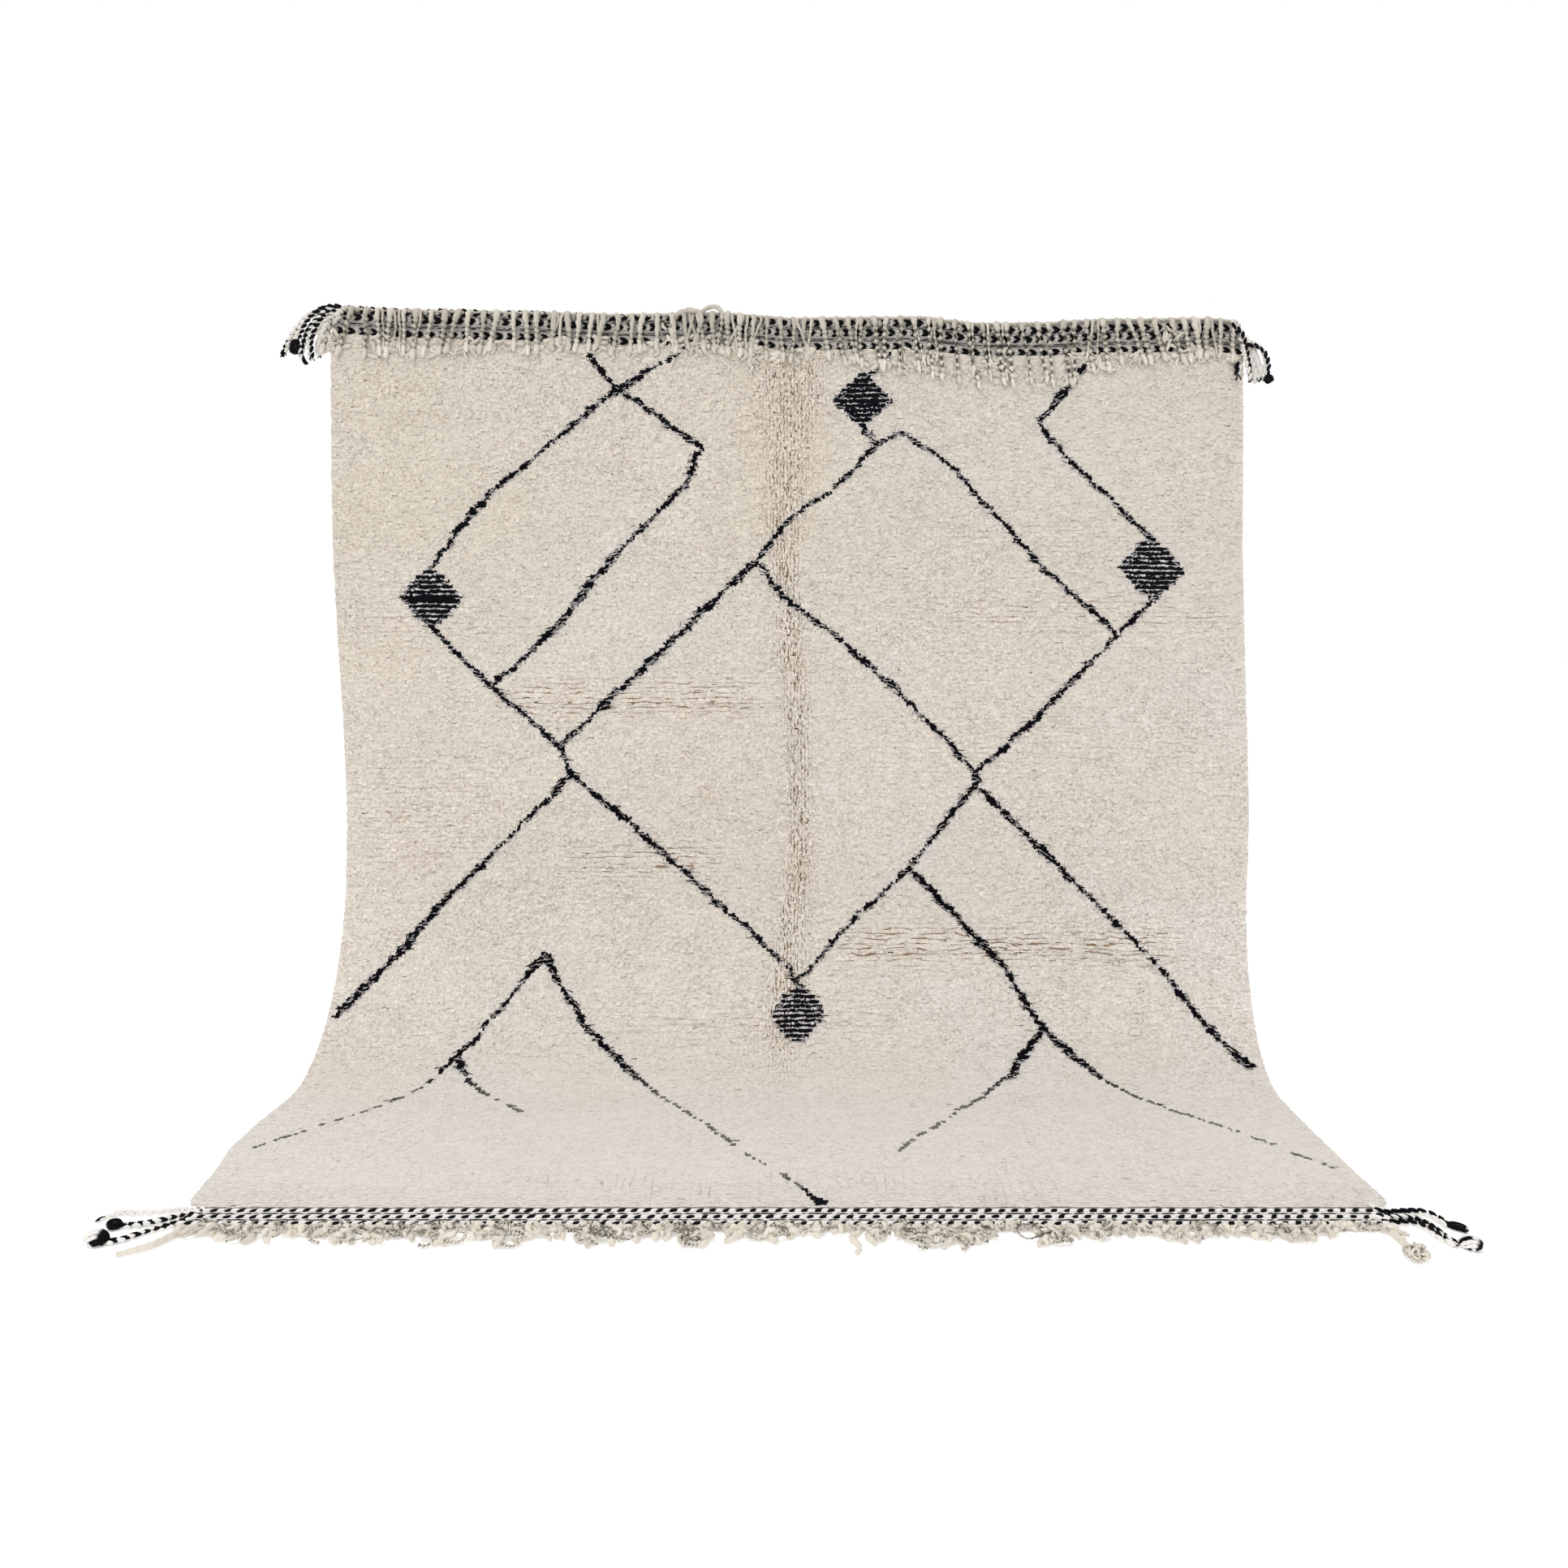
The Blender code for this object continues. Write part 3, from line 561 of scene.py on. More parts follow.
def makeCloth():
    across = np.linspace(-rug["halfWidth"], rug["halfWidth"], cloth["acrossLines"])
    along = np.linspace(0.0, bandEnd, cloth["alongLines"])
    mesh = bmesh.new()
    plan = mesh.verts.layers.float_vector.new("flatPlace")
    planMap = mesh.loops.layers.uv.new("plan")
    bmesh.ops.create_grid(mesh, x_segments=len(across) - 1, y_segments=len(along) - 1, size=1.0)
    back = mesh.verts[:]
    grown = bmesh.ops.extrude_face_region(mesh, geom=mesh.faces[:])
    front = [item for item in grown["geom"] if isinstance(item, bmesh.types.BMVert)]
    for verts, lift in ((back, 0.0), (front, cloth["thick"])):
        column = np.rint([(vert.co.x + 1.0) / 2.0 * (len(across) - 1) for vert in verts]).astype(int)
        row = np.rint([(vert.co.y + 1.0) / 2.0 * (len(along) - 1) for vert in verts]).astype(int)
        for vert, place, x, y in zip(verts, drape(across[column], along[row], lift),
                                     across[column], along[row]):
            vert.co = place
            vert[plan] = (x, y, lift)
    bmesh.ops.recalc_face_normals(mesh, faces=mesh.faces[:])
    for face in mesh.faces:
        face.smooth = True
        for loop in face.loops:
            loop[planMap].uv = loop.vert[plan][:2]
    data = bpy.data.meshes.new("groundCloth")
    mesh.to_mesh(data)
    mesh.free()
    data.materials.append(groundWool)
    return linkObject("groundCloth", data)


print("ground cloth")
groundCloth = makeCloth()

# The black drawing, charted in metres across and along the flat rug. Each line has the
# corners that it turns at, with its weight there; the knots make it jagged.
drawnLines = (
    ((-0.46, 0.06, 1.0), (-0.37, 0.155, 1.1), (-0.19, 0.285, 0.9), (-0.225, 0.37, 0.9),
     (-0.39, 0.525, 1.0), (-0.515, 0.675, 1.5), (-0.57, 0.725, 1.1), (-0.67, 0.81, 0.9)),
    ((-0.205, 0.06, 0.9), (-0.37, 0.155, 1.1), (-0.66, 0.39, 1.0), (-0.79, 0.55, 0.8)),
    ((-0.795, 0.68, 0.8), (-0.67, 0.81, 1.1), (-0.525, 0.945, 0.9), (-0.50, 1.005, 1.2)),
    ((-0.07, 0.53, 0.9), (-0.20, 0.65, 1.2), (-0.315, 0.755, 1.6), (-0.40, 0.83, 1.3),
     (-0.525, 0.945, 1.1)),
    ((-0.50, 1.005, 0.9), (-0.66, 1.165, 0.8), (-0.795, 1.305, 1.1), (-0.985, 1.54, 1.5)),
    ((-0.50, 1.005, 1.2), (-0.40, 1.09, 1.3), (-0.22, 1.25, 1.1), (-0.06, 1.39, 0.9),
     (-0.005, 1.44, 0.6), (0.015, 1.48, 0.6)),
    ((0.225, 0.075, 0.9), (0.19, 0.115, 1.2), (0.165, 0.125, 1.0)),
    ((0.17, 0.23, 1.2), (0.195, 0.275, 1.0), (0.25, 0.25, 1.1), (0.365, 0.32, 1.0),
     (0.57, 0.555, 0.8), (0.715, 0.69, 0.7)),
    ((0.195, 0.275, 0.9), (0.105, 0.37, 0.7), (0.01, 0.43, 0.9), (-0.07, 0.53, 0.7)),
    ((-0.07, 0.53, 0.8), (-0.015, 0.61, 1.3), (0.10, 0.70, 0.9), (0.235, 0.825, 1.0),
     (0.395, 1.0, 0.8)),
    ((0.68, 0.06, 1.5), (0.555, 0.215, 1.4), (0.575, 0.25, 1.0), (0.645, 0.33, 0.9),
     (0.80, 0.48, 0.7)),
    ((0.80, 0.615, 0.9), (0.715, 0.70, 0.9), (0.54, 0.87, 0.9), (0.47, 0.935, 1.0),
     (0.40, 1.0, 0.9)),
    ((0.395, 1.0, 1.3), (0.40, 1.035, 1.1), (0.52, 1.15, 1.1), (0.79, 1.415, 0.8),
     (0.97, 1.655, 1.3)),
    ((0.395, 1.025, 1.1), (0.34, 1.095, 1.2), (0.25, 1.215, 0.8), (0.13, 1.33, 0.9),
     (0.015, 1.46, 0.5)),
    ((0.25, 1.215, 0.8), (0.32, 1.285, 1.2), (0.46, 1.43, 1.0), (0.545, 1.565, 1.0),
     (0.61, 1.635, 1.2), (0.66, 1.69, 0.5), (0.885, 1.915, 0.32), (0.985, 2.035, 0.32)),
    ((0.545, 1.565, 0.9), (0.465, 1.675, 1.4), (0.445, 1.69, 0.5), (0.21, 1.96, 0.32)),
    ((-0.55, 1.405, 1.1), (-0.64, 1.535, 0.6), (-0.705, 1.635, 1.1), (-0.75, 1.71, 0.4),
     (-0.82, 1.805, 0.3), (-0.975, 1.96, 0.3)),
    ((-0.70, 1.635, 1.6), (-0.66, 1.69, 0.9), (-0.605, 1.735, 0.4), (-0.505, 1.81, 0.25)),
    ((-0.55, 1.405, 1.3), (-0.50, 1.48, 1.1), (-0.445, 1.555, 1.4), (-0.32, 1.675, 1.0),
     (-0.28, 1.71, 0.4), (-0.145, 1.855, 0.35), (0.005, 2.055, 0.3), (0.030, 2.083, 0.4),
     (0.044, 2.100, 0.7), (0.054, 2.112, 2.5)),
)

# filled lozenges of black and ivory rows: across, along, half width, half height, roundness
lozenges = (
    (0.165, 0.177, 0.064, 0.060, 1.0),
    (-0.792, 0.614, 0.065, 0.067, 1.1),
    (0.799, 0.548, 0.069, 0.068, 1.15),
    (0.017, 1.536, 0.053, 0.060, 1.4),
)

drawing = {
    "thin": 0.0027,          # half thickness of a line
    "thinnest": 0.0022,
    "swing": 0.0026,         # how much the knots thicken or thin it
    "faded": 0.22,           # how much paler the lines are on the lying end
    "wander": 0.003,         # how far it strays from straight
    "flatten": 0.7,          # lines spread more across the rug than along it
    "haloReach": 0.020,
    "splitReach": 0.016,     # knots this near a line are knotted at half width
    "splitDepth": 1.12,      # and so are those in a lozenge or this near one
    "lozengeEdge": 1.04,     # the stripes end here, as a share of a lozenge's own size
    "lozengeWaver": 0.06,
    "lineEnd": 0.95,         # and here the lines do
    "heavyRow": (0.617, 0.0042, 0.92),      # a solid black row of the left lozenge: along, half, depth
    "blot": (0.055, 2.11, 0.045),           # across, along, reach
    "halo": 0.42,            # how strong the grey of mingled black fibres and painted shade is beside a line, and beside a lozenge
    "lozengeHalo": 0.45,
}


def lineDistance(across, along, flatten=1.0):
    # distance of each place from the nearest drawn line, shorter beside a heavy one
    nearest = np.full(np.shape(across), farAway)
    x = across * flatten
    for line in drawnLines:
        for (x1, y1, first), (x2, y2, second) in zip(line, line[1:]):
            x1, dx, dy = x1 * flatten, (x2 - x1) * flatten, y2 - y1
            share = np.clip(((x - x1) * dx + (along - y1) * dy) / (dx * dx + dy * dy), 0.0, 1.0)
            distance = np.hypot(x - x1 - share * dx, along - y1 - share * dy)
            nearest = np.minimum(nearest, distance / (first + share * (second - first)))
    return nearest


def lozengeDepth(across, along):
    # below 1 inside a lozenge
    found = np.full(np.shape(across), farAway)
    for x, y, width, height, roundness in lozenges:
        depth = (np.abs(across - x) / width) ** roundness + (np.abs(along - y) / height) ** roundness
        found = np.minimum(found, depth ** (1.0 / roundness))
    return found


def drawnInk(across, along, row):
    # where a knot is black
    wanderX = softNoise(across, along, 0.03, 0.03, 51) + 0.7 * softNoise(across, along, 0.012, 0.012, 57)
    wanderY = softNoise(across, along, 0.03, 0.03, 52)
    distance = lineDistance(across + drawing["wander"] * wanderX, along + drawing["wander"] * wanderY,
                            drawing["flatten"])
    uneven = 1.2 * softNoise(across, along, 0.020, 0.014, 53)
    uneven = uneven + 0.5 * softNoise(across, along, 0.15, 0.15, 54)
    limit = drawing["thin"] + drawing["swing"] * uneven
    onLine = distance < np.maximum(limit, drawing["thinnest"])
    waver = drawing["lozengeWaver"] * softNoise(across, along, 0.011, 0.0054, 55)
    depth = lozengeDepth(across, along) + waver
    striped = (depth < drawing["lozengeEdge"]) & (row % 2 == 0)
    middle, half, deepest = drawing["heavyRow"]
    heavy = (depth < deepest) & (np.abs(along - middle) < half) & (across < 0.0)
    return (onLine & (depth > drawing["lineEnd"])) | striped | heavy


# Pile: cut tufts of wool, one for each knot, standing in rows on the ground cloth

pile = {
    "rows": 381,
    "knots": 171,            # in a row
    "root": 0.0034,          # where the tufts leave the cloth
    "rootShare": 0.74,       # width at the root, as a share of the knot
    "topShare": 1.17,        # and at the top, where tufts press on each other
    "jitter": 0.20,
    "lean": 0.00036,
    "droop": 0.0005,         # the tops hang a little lower than the knots
    "roughness": 0.00040,    # uneven height
    "scatter": 0.00035,
    "tilt": 0.130,
    "pores": 0.010,          # share of short tufts
    "poreDepth": 0.0020,
    "endRun": 0.065,         # the pile thins out over this length above the floor band
    "endDrop": 0.0062,
    "endLean": 0.0022,       # and leans out over it
    "short": 0.0012,         # how far the tops stay below the solid's
    "rim": (0.988, 0.012, 0.0018),      # the outermost tufts lean out: from, run, how far
    "creaseLean": 0.0020,
    "inkLift": 0.0004,       # black tufts stand higher
    "inkWide": 1.14,         # and are wider
    "splitCrease": 0.40,     # knots are split in two where the lengthwise fold is stronger than this
    "pieces": 5,
}

# how far the pile's first row lies above the line it was knotted along, across the rug
pileRise = ((-1.00, 0.015), (-0.80, 0.014), (-0.45, 0.008), (-0.10, 0.0045), (0.70, 0.001))

# a lengthwise fold and some crosswise folds have pressed troughs into the pile
lengthwiseCrease = {"halfWidth": 0.060, "depth": 0.0020, "start": 0.09, "end": 1.86, "fade": 0.3}
creaseWay = (  # along, across, half width of the cracked strip
    (0.07, 0.004, 0.085), (0.20, 0.004, 0.080), (0.32, -0.002, 0.058), (0.50, -0.008, 0.036),
    (0.70, -0.003, 0.030), (0.90, 0.003, 0.030), (1.20, 0.004, 0.028), (1.42, -0.008, 0.040),
    (1.60, -0.012, 0.052), (1.90, 0.012, 0.030))
crosswiseCreases = (  # along, from, to, depth
    (0.86, -0.66, 0.06, 0.0035), (1.22, -0.48, -0.18, 0.0030), (1.41, 0.10, 0.82, 0.0035))
crosswiseHalf, crosswiseFade = 0.022, 0.08

# patches where the rows of knots part: along, reach along, from, to, how far they part
slitPatches = (
    (0.835, 0.046, -0.70, -0.02, 0.85), (0.65, 0.050, 0.28, 1.02, 0.48),
    (1.197, 0.040, -0.56, -0.12, 0.85), (1.387, 0.048, 0.05, 0.90, 0.95),
    (0.93, 0.090, 0.10, 0.95, 0.25), (0.47, 0.070, 0.25, 0.98, 0.25),
    (1.08, 0.160, -1.02, -0.62, 0.35), (0.66, 0.100, -1.02, -0.50, 0.25),
    (1.56, 0.060, -0.40, 0.30, 0.30),
)
slitFade = 0.10


def between(place, first, last, fade):
    # 1 between two places, fading to 0 at both
    return ease((place - first) / fade) * ease((last - place) / fade)


def trough(offset, half):
    return 0.5 + 0.5 * np.cos(math.pi * np.minimum(np.abs(offset) / half, 1.0))


def pileHeight(across, along):
    fold = lengthwiseCrease
    fade = ease((fold["end"] - along) / fold["fade"]) * (along > fold["start"])
    middle = readTable(creaseWay, along)
    height = rug["pileThick"] - fold["depth"] * fade * trough(across - middle, fold["halfWidth"])
    height = height - pile["endDrop"] * np.clip((along - pileEnd) / pile["endRun"] + 1.0, 0.0, 1.0)
    for middle, left, right, depth in crosswiseCreases:
        fade = between(across, left, right, crosswiseFade)
        height = height - depth * fade * trough(along - middle, crosswiseHalf)
    return height


def creaseZone(across, along):
    # 1 in the middle of the lengthwise fold, fading to its sides and its end
    fade = ease((1.80 - along) / 0.35) * (0.80 + 0.20 * ease((along - 0.25) / 0.2))
    offset = (across - readTable(creaseWay, along)) / readTable(creaseWay, along, 2)
    return np.exp(-offset ** 2) * fade


def slitZone(across, along):
    zone = 0.02 * np.ones(np.shape(across))
    for middle, reach, left, right, size in slitPatches:
        inside = between(across, left, right, slitFade)
        zone = zone + size * inside * np.exp(-((along - middle) / reach) ** 2)
    return np.minimum(zone, 1.0) * ease((1.75 - along) / 0.2)


def warmth(across, along):
    # the wool is yellower towards the upper left and greyer lower down
    trend = 0.76 - 0.28 * ease((along - 0.2) / 1.2) - 0.10 * across - 0.55 * lying(along, 1.62, 0.2)
    patches = 0.22 * softNoise(across, along, 0.22, 0.15, 91)
    patches = patches + 0.06 * softNoise(across, along, 0.07, 0.05, 92)
    fold = 0.28 * np.exp(-(across / 0.17) ** 2) * ease((0.75 - along) / 0.5)
    return np.clip(trend + patches + fold, 0.0, 1.2)


# how much paler the wool is painted down the rug: painted shade near the top and painted light further
# down
paintedLightDown = ((0.07, -0.6), (0.15, -0.4), (0.30, 0.2), (0.46, 0.3), (0.75, 1.3), (1.04, 2.2), (1.30, 3.0),
            (1.50, 3.2), (1.66, 1.5), (1.80, 2.9), (2.12, 3.7))


def grit(across, along):
    # how rough the wool looks, in its grain and its painted crack shade: least at the upper right, round
    # the bend and on the floor
    calm = 0.40 * ease((across - 0.40) / 0.30) * ease((0.95 - along) / 0.30)
    rough = 1.00 + 0.25 * softNoise(across, along, 0.24, 0.20, 93)
    return np.clip(rough - calm - 0.50 * lying(along, 1.52, 0.20), 0.25, 1.25)


def endRuns(across, along):
    # short lengthwise cracks where the pile meets the floor band
    patchy = np.clip(0.5 + 0.9 * softNoise(across, along, 0.10, 0.05, 94), 0.0, 1.0)
    return ease((along - 1.97) / 0.10) * patchy


def tuftShape():
    # a tuft flares from its root to a flat cut top, and is open where it sits in the cloth
    mesh = bmesh.new()
    bmesh.ops.create_grid(mesh, x_segments=1, y_segments=1, size=0.5)
    face = mesh.faces[:][0]
    top = bmesh.ops.extrude_discrete_faces(mesh, faces=[face])["faces"][0]
    bmesh.ops.translate(mesh, verts=top.verts[:], vec=(0.0, 0.0, 1.0))
    return shapeData(mesh)


def rowPlace(across, row, pitch):
    along = pileStart + (row + 0.5) * pitch
    return along - readTable(pileRise, across) * (1.0 - ease((along - pileStart) / 0.35))


def layKnots():
    # sides and row of every knot; those near the drawing and in the lengthwise fold are split in two
    chance = np.random.default_rng(7)
    pitch = (pileEnd - pileStart) / pile["rows"]
    edges = np.linspace(-rug["halfWidth"], rug["halfWidth"], pile["knots"] + 1)
    width = edges[1] - edges[0]
    edges = np.tile(edges, (pile["rows"], 1))
    rows = np.arange(pile["rows"])
    edges[:, 1:-1] += 0.25 * width * np.where(rows % 2 == 0, 1.0, -1.0)[:, None]
    edges[:, 1:-1] += chance.uniform(-pile["jitter"], pile["jitter"], edges[:, 1:-1].shape) * width
    left, right = edges[:, :-1].ravel(), edges[:, 1:].ravel()
    row = np.repeat(rows, pile["knots"])
    middle = (left + right) / 2
    along = rowPlace(middle, row, pitch)
    split = lineDistance(middle, along) < drawing["splitReach"]
    split = split | (lozengeDepth(middle, along) < drawing["splitDepth"])
    split = split | (creaseZone(middle, along) > pile["splitCrease"])
    cut = (left + (right - left) * chance.uniform(0.30, 0.70, len(left)))[split]
    left, right = (np.concatenate((left[~split], left[split], cut)),
                   np.concatenate((right[~split], cut, right[split])))
    row = np.concatenate((row[~split], row[split], row[split]))
    order = np.lexsort((left, row))
    left, right, row = left[order], right[order], row[order]
    return left, right, row, rowPlace((left + right) / 2, row, pitch), pitch


def fadedInk(across, along):
    # the drawing is paler where the rug lies, but for the blot that it ends in
    x, y, reach = drawing["blot"]
    blot = np.hypot(across - x, along - y) < reach
    return 1.0 - drawing["faded"] * lying(along) * ~blot


# clumps of tufts that lean together: their size across and along, how much of the way to their middle
# a tuft leans across and along, seed
clumps = {
    "patchy": (0.012, 0.014, 0.130, 0.060, 81),
    "crease": (0.0085, 0.017, 0.22, 0.08, 82),
    "slit": (0.034, 0.0126, 0.02, 0.14, 83),
}


def placeTufts(shape, left, right, row, along, pitch):
    # points of every tuft, and what its wool looks like
    chance = np.random.default_rng(8)
    count = len(row)
    across = (left + right) / 2
    width = right - left
    ink = drawnInk(across, along, row)
    crease, slit = creaseZone(across, along), slitZone(across, along)
    calm = 1.0 - 0.6 * lying(along, 1.50, 0.30)      # the lying end has been smoothed flat

    # tufts of one clump lean together, and the pile cracks open between clumps
    leanAcross = chance.normal(0.0, pile["lean"], count) * calm
    leanAlong = chance.normal(0.0, pile["lean"], count) * calm + pile["droop"]
    patchy = np.clip(0.6 + 0.9 * softNoise(across, along, 0.09, 0.07, 65), 0.1, 1.6)
    patchy = patchy * grit(across, along)
    zones = {"patchy": patchy * calm, "crease": crease, "slit": slit}
    for name, (cellAcross, cellAlong, pullAcross, pullAlong, seed) in clumps.items():
        wayAcross, wayAlong = clumpPull(across, along, cellAcross, cellAlong, seed)
        leanAcross = leanAcross + zones[name] * pullAcross * wayAcross
        leanAlong = leanAlong + zones[name] * pullAlong * wayAlong
    leanAcross = leanAcross + pile["creaseLean"] * crease * softNoise(across, along, 0.0056, 0.012, 84)
    ending = ease((along - pileEnd + pile["endRun"]) / pile["endRun"])
    leanAlong = leanAlong + pile["endLean"] * ending
    rimStart, rimRun, rimLean = pile["rim"]
    rim = np.sign(across) * ease((np.abs(across) - rimStart) / rimRun)
    leanAcross = leanAcross + rimLean * rim

    height = pileHeight(across, along) - pile["root"] - pile["short"]
    height = height + chance.normal(0.0, pile["roughness"], count) * (calm + 0.8 * crease)
    height = height + 0.0004 * softNoise(across, along, 0.035, 0.030, 67) * calm
    short = chance.random(count) < pile["pores"] * (calm + 1.5 * crease)
    height = np.where(short, height - pile["poreDepth"] * chance.uniform(0.4, 1.0, count), height)
    height = np.where(ink, height + pile["inkLift"], height)
    size = chance.uniform(0.96, 1.06, count) * np.where(short, 0.80, 1.0)
    size = size * np.where(ink, pile["inkWide"], 1.0)
    depth = lozengeDepth(across, along)
    inLozenge = depth < drawing["lozengeEdge"]
    # black rows press on ivory ones, most in the upper lozenge and least in the lower
    press = np.where(along < 0.3, 0.44, np.where(along > 1.0, 0.12, 0.24))
    deep = 1.0 + inLozenge * np.where(ink, press, -press)

    template = shape["points"]
    isTop = (template[:, 2] > 0.5)[None, :]
    share = np.where(isTop, pile["topShare"] * size[:, None], pile["rootShare"])
    # the rows aren't quite straight
    along = along + 0.0017 * softNoise(across, along, 0.045, 0.030, 62)
    along = along + 0.0008 * softNoise(across, along, 0.015, 0.013, 63)
    along = along + 0.0012 * slit * softNoise(across, along, 0.028, 0.010, 64)
    turn = chance.uniform(-0.16, 0.16, count)[:, None]
    x, y = template[None, :, 0], template[None, :, 1]
    narrow = 1.0 - 0.08 * crease[:, None] * isTop
    pointAcross = (x + 0.35 * turn * y) * share * narrow * width[:, None] + across[:, None]
    # rows press on each other, but not where they part
    close = 1.0 + 0.14 * isTop * (1.0 - 0.8 * slit[:, None]) * ~inLozenge[:, None]
    pointAlong = (y - 0.6 * turn * x) * share * close * deep[:, None] * pitch + along[:, None]
    pointAcross = pointAcross + np.where(isTop, leanAcross[:, None], 0.0)
    pointAlong = pointAlong + np.where(isTop, leanAlong[:, None], 0.0)
    scatter = chance.normal(0.0, pile["scatter"], (count, len(template), 3)) * calm[:, None, None]
    tilt = chance.normal(0.0, pile["tilt"], (count, 2)) * (calm + crease)[:, None]
    lift = pile["root"] + np.where(isTop, height[:, None], 0.0)
    lift = lift + isTop * (tilt[:, :1] * x * width[:, None] + tilt[:, 1:] * y * pitch + scatter[..., 2])
    pointAcross = pointAcross + isTop * scatter[..., 0]
    pointAlong = pointAlong + isTop * scatter[..., 1]

    # ivory beside the lines and in the lozenges is greyed: partly mingled black fibres, partly painted
    # shade
    near = lineDistance(across, along)
    halo = drawing["halo"] * ease(1.0 - near / drawing["haloReach"]) * (1.0 - 0.5 * lying(along))
    beside = drawing["lozengeHalo"] * ease((1.35 - depth) / 0.35)
    halo = np.maximum(halo, np.where(depth < 1.0, 1.0, beside))
    # painted highlight: the wool is paler in the lengthwise fold and where rows part, beside their
    # painted cracks
    tone = readTable(paintedLightDown, along) + 2.7 * crease + 1.9 * slit
    tone = tone + 0.8 * chance.normal(0.0, 1.0, count) * calm
    tone = tone + 0.3 * softNoise(across, along, 0.02, 0.012, 68)
    looks = {"ink": ink * fadedInk(across, along), "tone": tone, "warmth": warmth(across, along),
             "halo": halo, "crease": 0.60 * crease + 0.10 * slit, "slit": slit,
             "grit": grit(across, along), "runs": endRuns(across, along)}
    tufts = {name: values[:, None] for name, values in looks.items()}
    # painted shade down each tuft's sides, less on the last rows before the floor band
    tufts["rootShade"] = np.where(isTop, 0.0, 1.0 - 0.95 * ending[:, None])
    tufts["points"] = drape(pointAcross, pointAlong, lift)
    # each tuft's cell in the map for baking: its top within its root, apart from its neighbours
    cellShare = np.where(isTop, 0.62, 0.94)
    cell = np.stack((x * cellShare * width[:, None] + across[:, None],
                     y * cellShare * pitch + along[:, None]), axis=-1)
    tufts["OFBake"] = (cell + (rug["halfWidth"], 0.0)) / (bandEnd, bandEnd)
    return tufts


pileAttributes = ("ink", "tone", "warmth", "halo", "crease", "slit", "grit", "runs", "rootShade")


def makePile():
    shape = tuftShape()
    left, right, row, along, pitch = layKnots()
    tufts = placeTufts(shape, left, right, row, along, pitch)
    cuts = np.linspace(0, len(row), pile["pieces"] + 1).astype(int)
    pieces = []
    for number, (first, last) in enumerate(zip(cuts, cuts[1:]), 1):
        part = {name: values[first:last] for name, values in tufts.items()}
        part["shape"] = shape
        piece = joinCopies(f"pile{number}", [part], pileWool, pileAttributes, ("OFBake",))
        piece.data.shade_flat()
        pieces.append(piece)
    print("tufts", len(row))
    return pieces


stroke = {
    "black": 2300, "blackLength": (0.008, 0.021), "blackLift": 0.0004,
    "ivory": 1100, "ivoryLength": (0.006, 0.015), "ivoryLift": 0.0009,
    "half": 0.0010, "slant": 22.0, "spread": 15.0,
    "fewerFrom": 1.68,       # where the rug lies, three of four places are left out
    "last": 2.06,
    "feel": 0.01,            # how far off a line's slope is felt for
}


def makeStrokes():
    # loose ends of wool along the drawing: black ones that stick out of the lines, and ivory ones
    # that lie over them between the rows
    chance = np.random.default_rng(9)
    left, right, row, along, pitch = layKnots()
    across = (left + right) / 2
    black = drawnInk(across, along, row)
    fewer = (along > stroke["fewerFrom"]) & (chance.random(len(along)) < 0.75)
    onLine = black & (lozengeDepth(across, along) > 0.85) & (along < stroke["last"]) & ~fewer
    onLine = np.flatnonzero(onLine)
    shape = yarnBar(3, 1)
    parts = []
    for kind, shift, ink in (("black", 0.0, 1.0), ("ivory", 0.5, 0.0)):
        count = stroke[kind]
        pick = chance.choice(onLine, count)
        middle = np.stack((across[pick] + chance.normal(0.0, 0.0035, count),
                           along[pick] + shift * pitch + chance.normal(0.0, 0.0010, count)), axis=-1)
        x, y, feel = across[pick], along[pick], stroke["feel"]
        climbs = (lineDistance(x + feel, y - feel) + lineDistance(x - feel, y + feel)
                  < lineDistance(x + feel, y + feel) + lineDistance(x - feel, y - feel))
        slant = np.where(climbs, stroke["slant"], -0.7 * stroke["slant"])
        angle = np.radians(slant + chance.normal(0.0, stroke["spread"], count))
        reach = 0.5 * chance.uniform(*stroke[kind + "Length"], count)[:, None]
        way = np.stack((np.cos(angle), -np.sin(angle)), axis=-1) * reach
        flat = np.stack((middle - way, middle + way), axis=1)
        flat[..., 0] = np.clip(flat[..., 0], -rug["halfWidth"], rug["halfWidth"])
        height = pileHeight(flat[..., 0], flat[..., 1]) + stroke[kind + "Lift"]
        thin = stroke["half"] * np.where(chance.random((count, 1)) < 0.5, (1.2, 0.5), (0.5, 1.2))
        paths = drape(flat[..., 0], flat[..., 1], height)
        points = bendYarn(shape, paths, (0.0, -1.0, 0.1), thin, 0.6 * thin)
        parts.append({"shape": shape, "points": points, "ink": (ink * fadedInk(x, y))[:, None],
                      "halo": 0.7, "tone": chance.normal(1.0, 1.5, (count, 1)), "warmth": 0.6})
    return joinCopies("strokes", parts, pileWool, pileAttributes)


print("pile")
pilePieces = makePile()
strokes = makeStrokes()

# End bands: rows of black and white yarn twined over the warps, with a fine line between rows

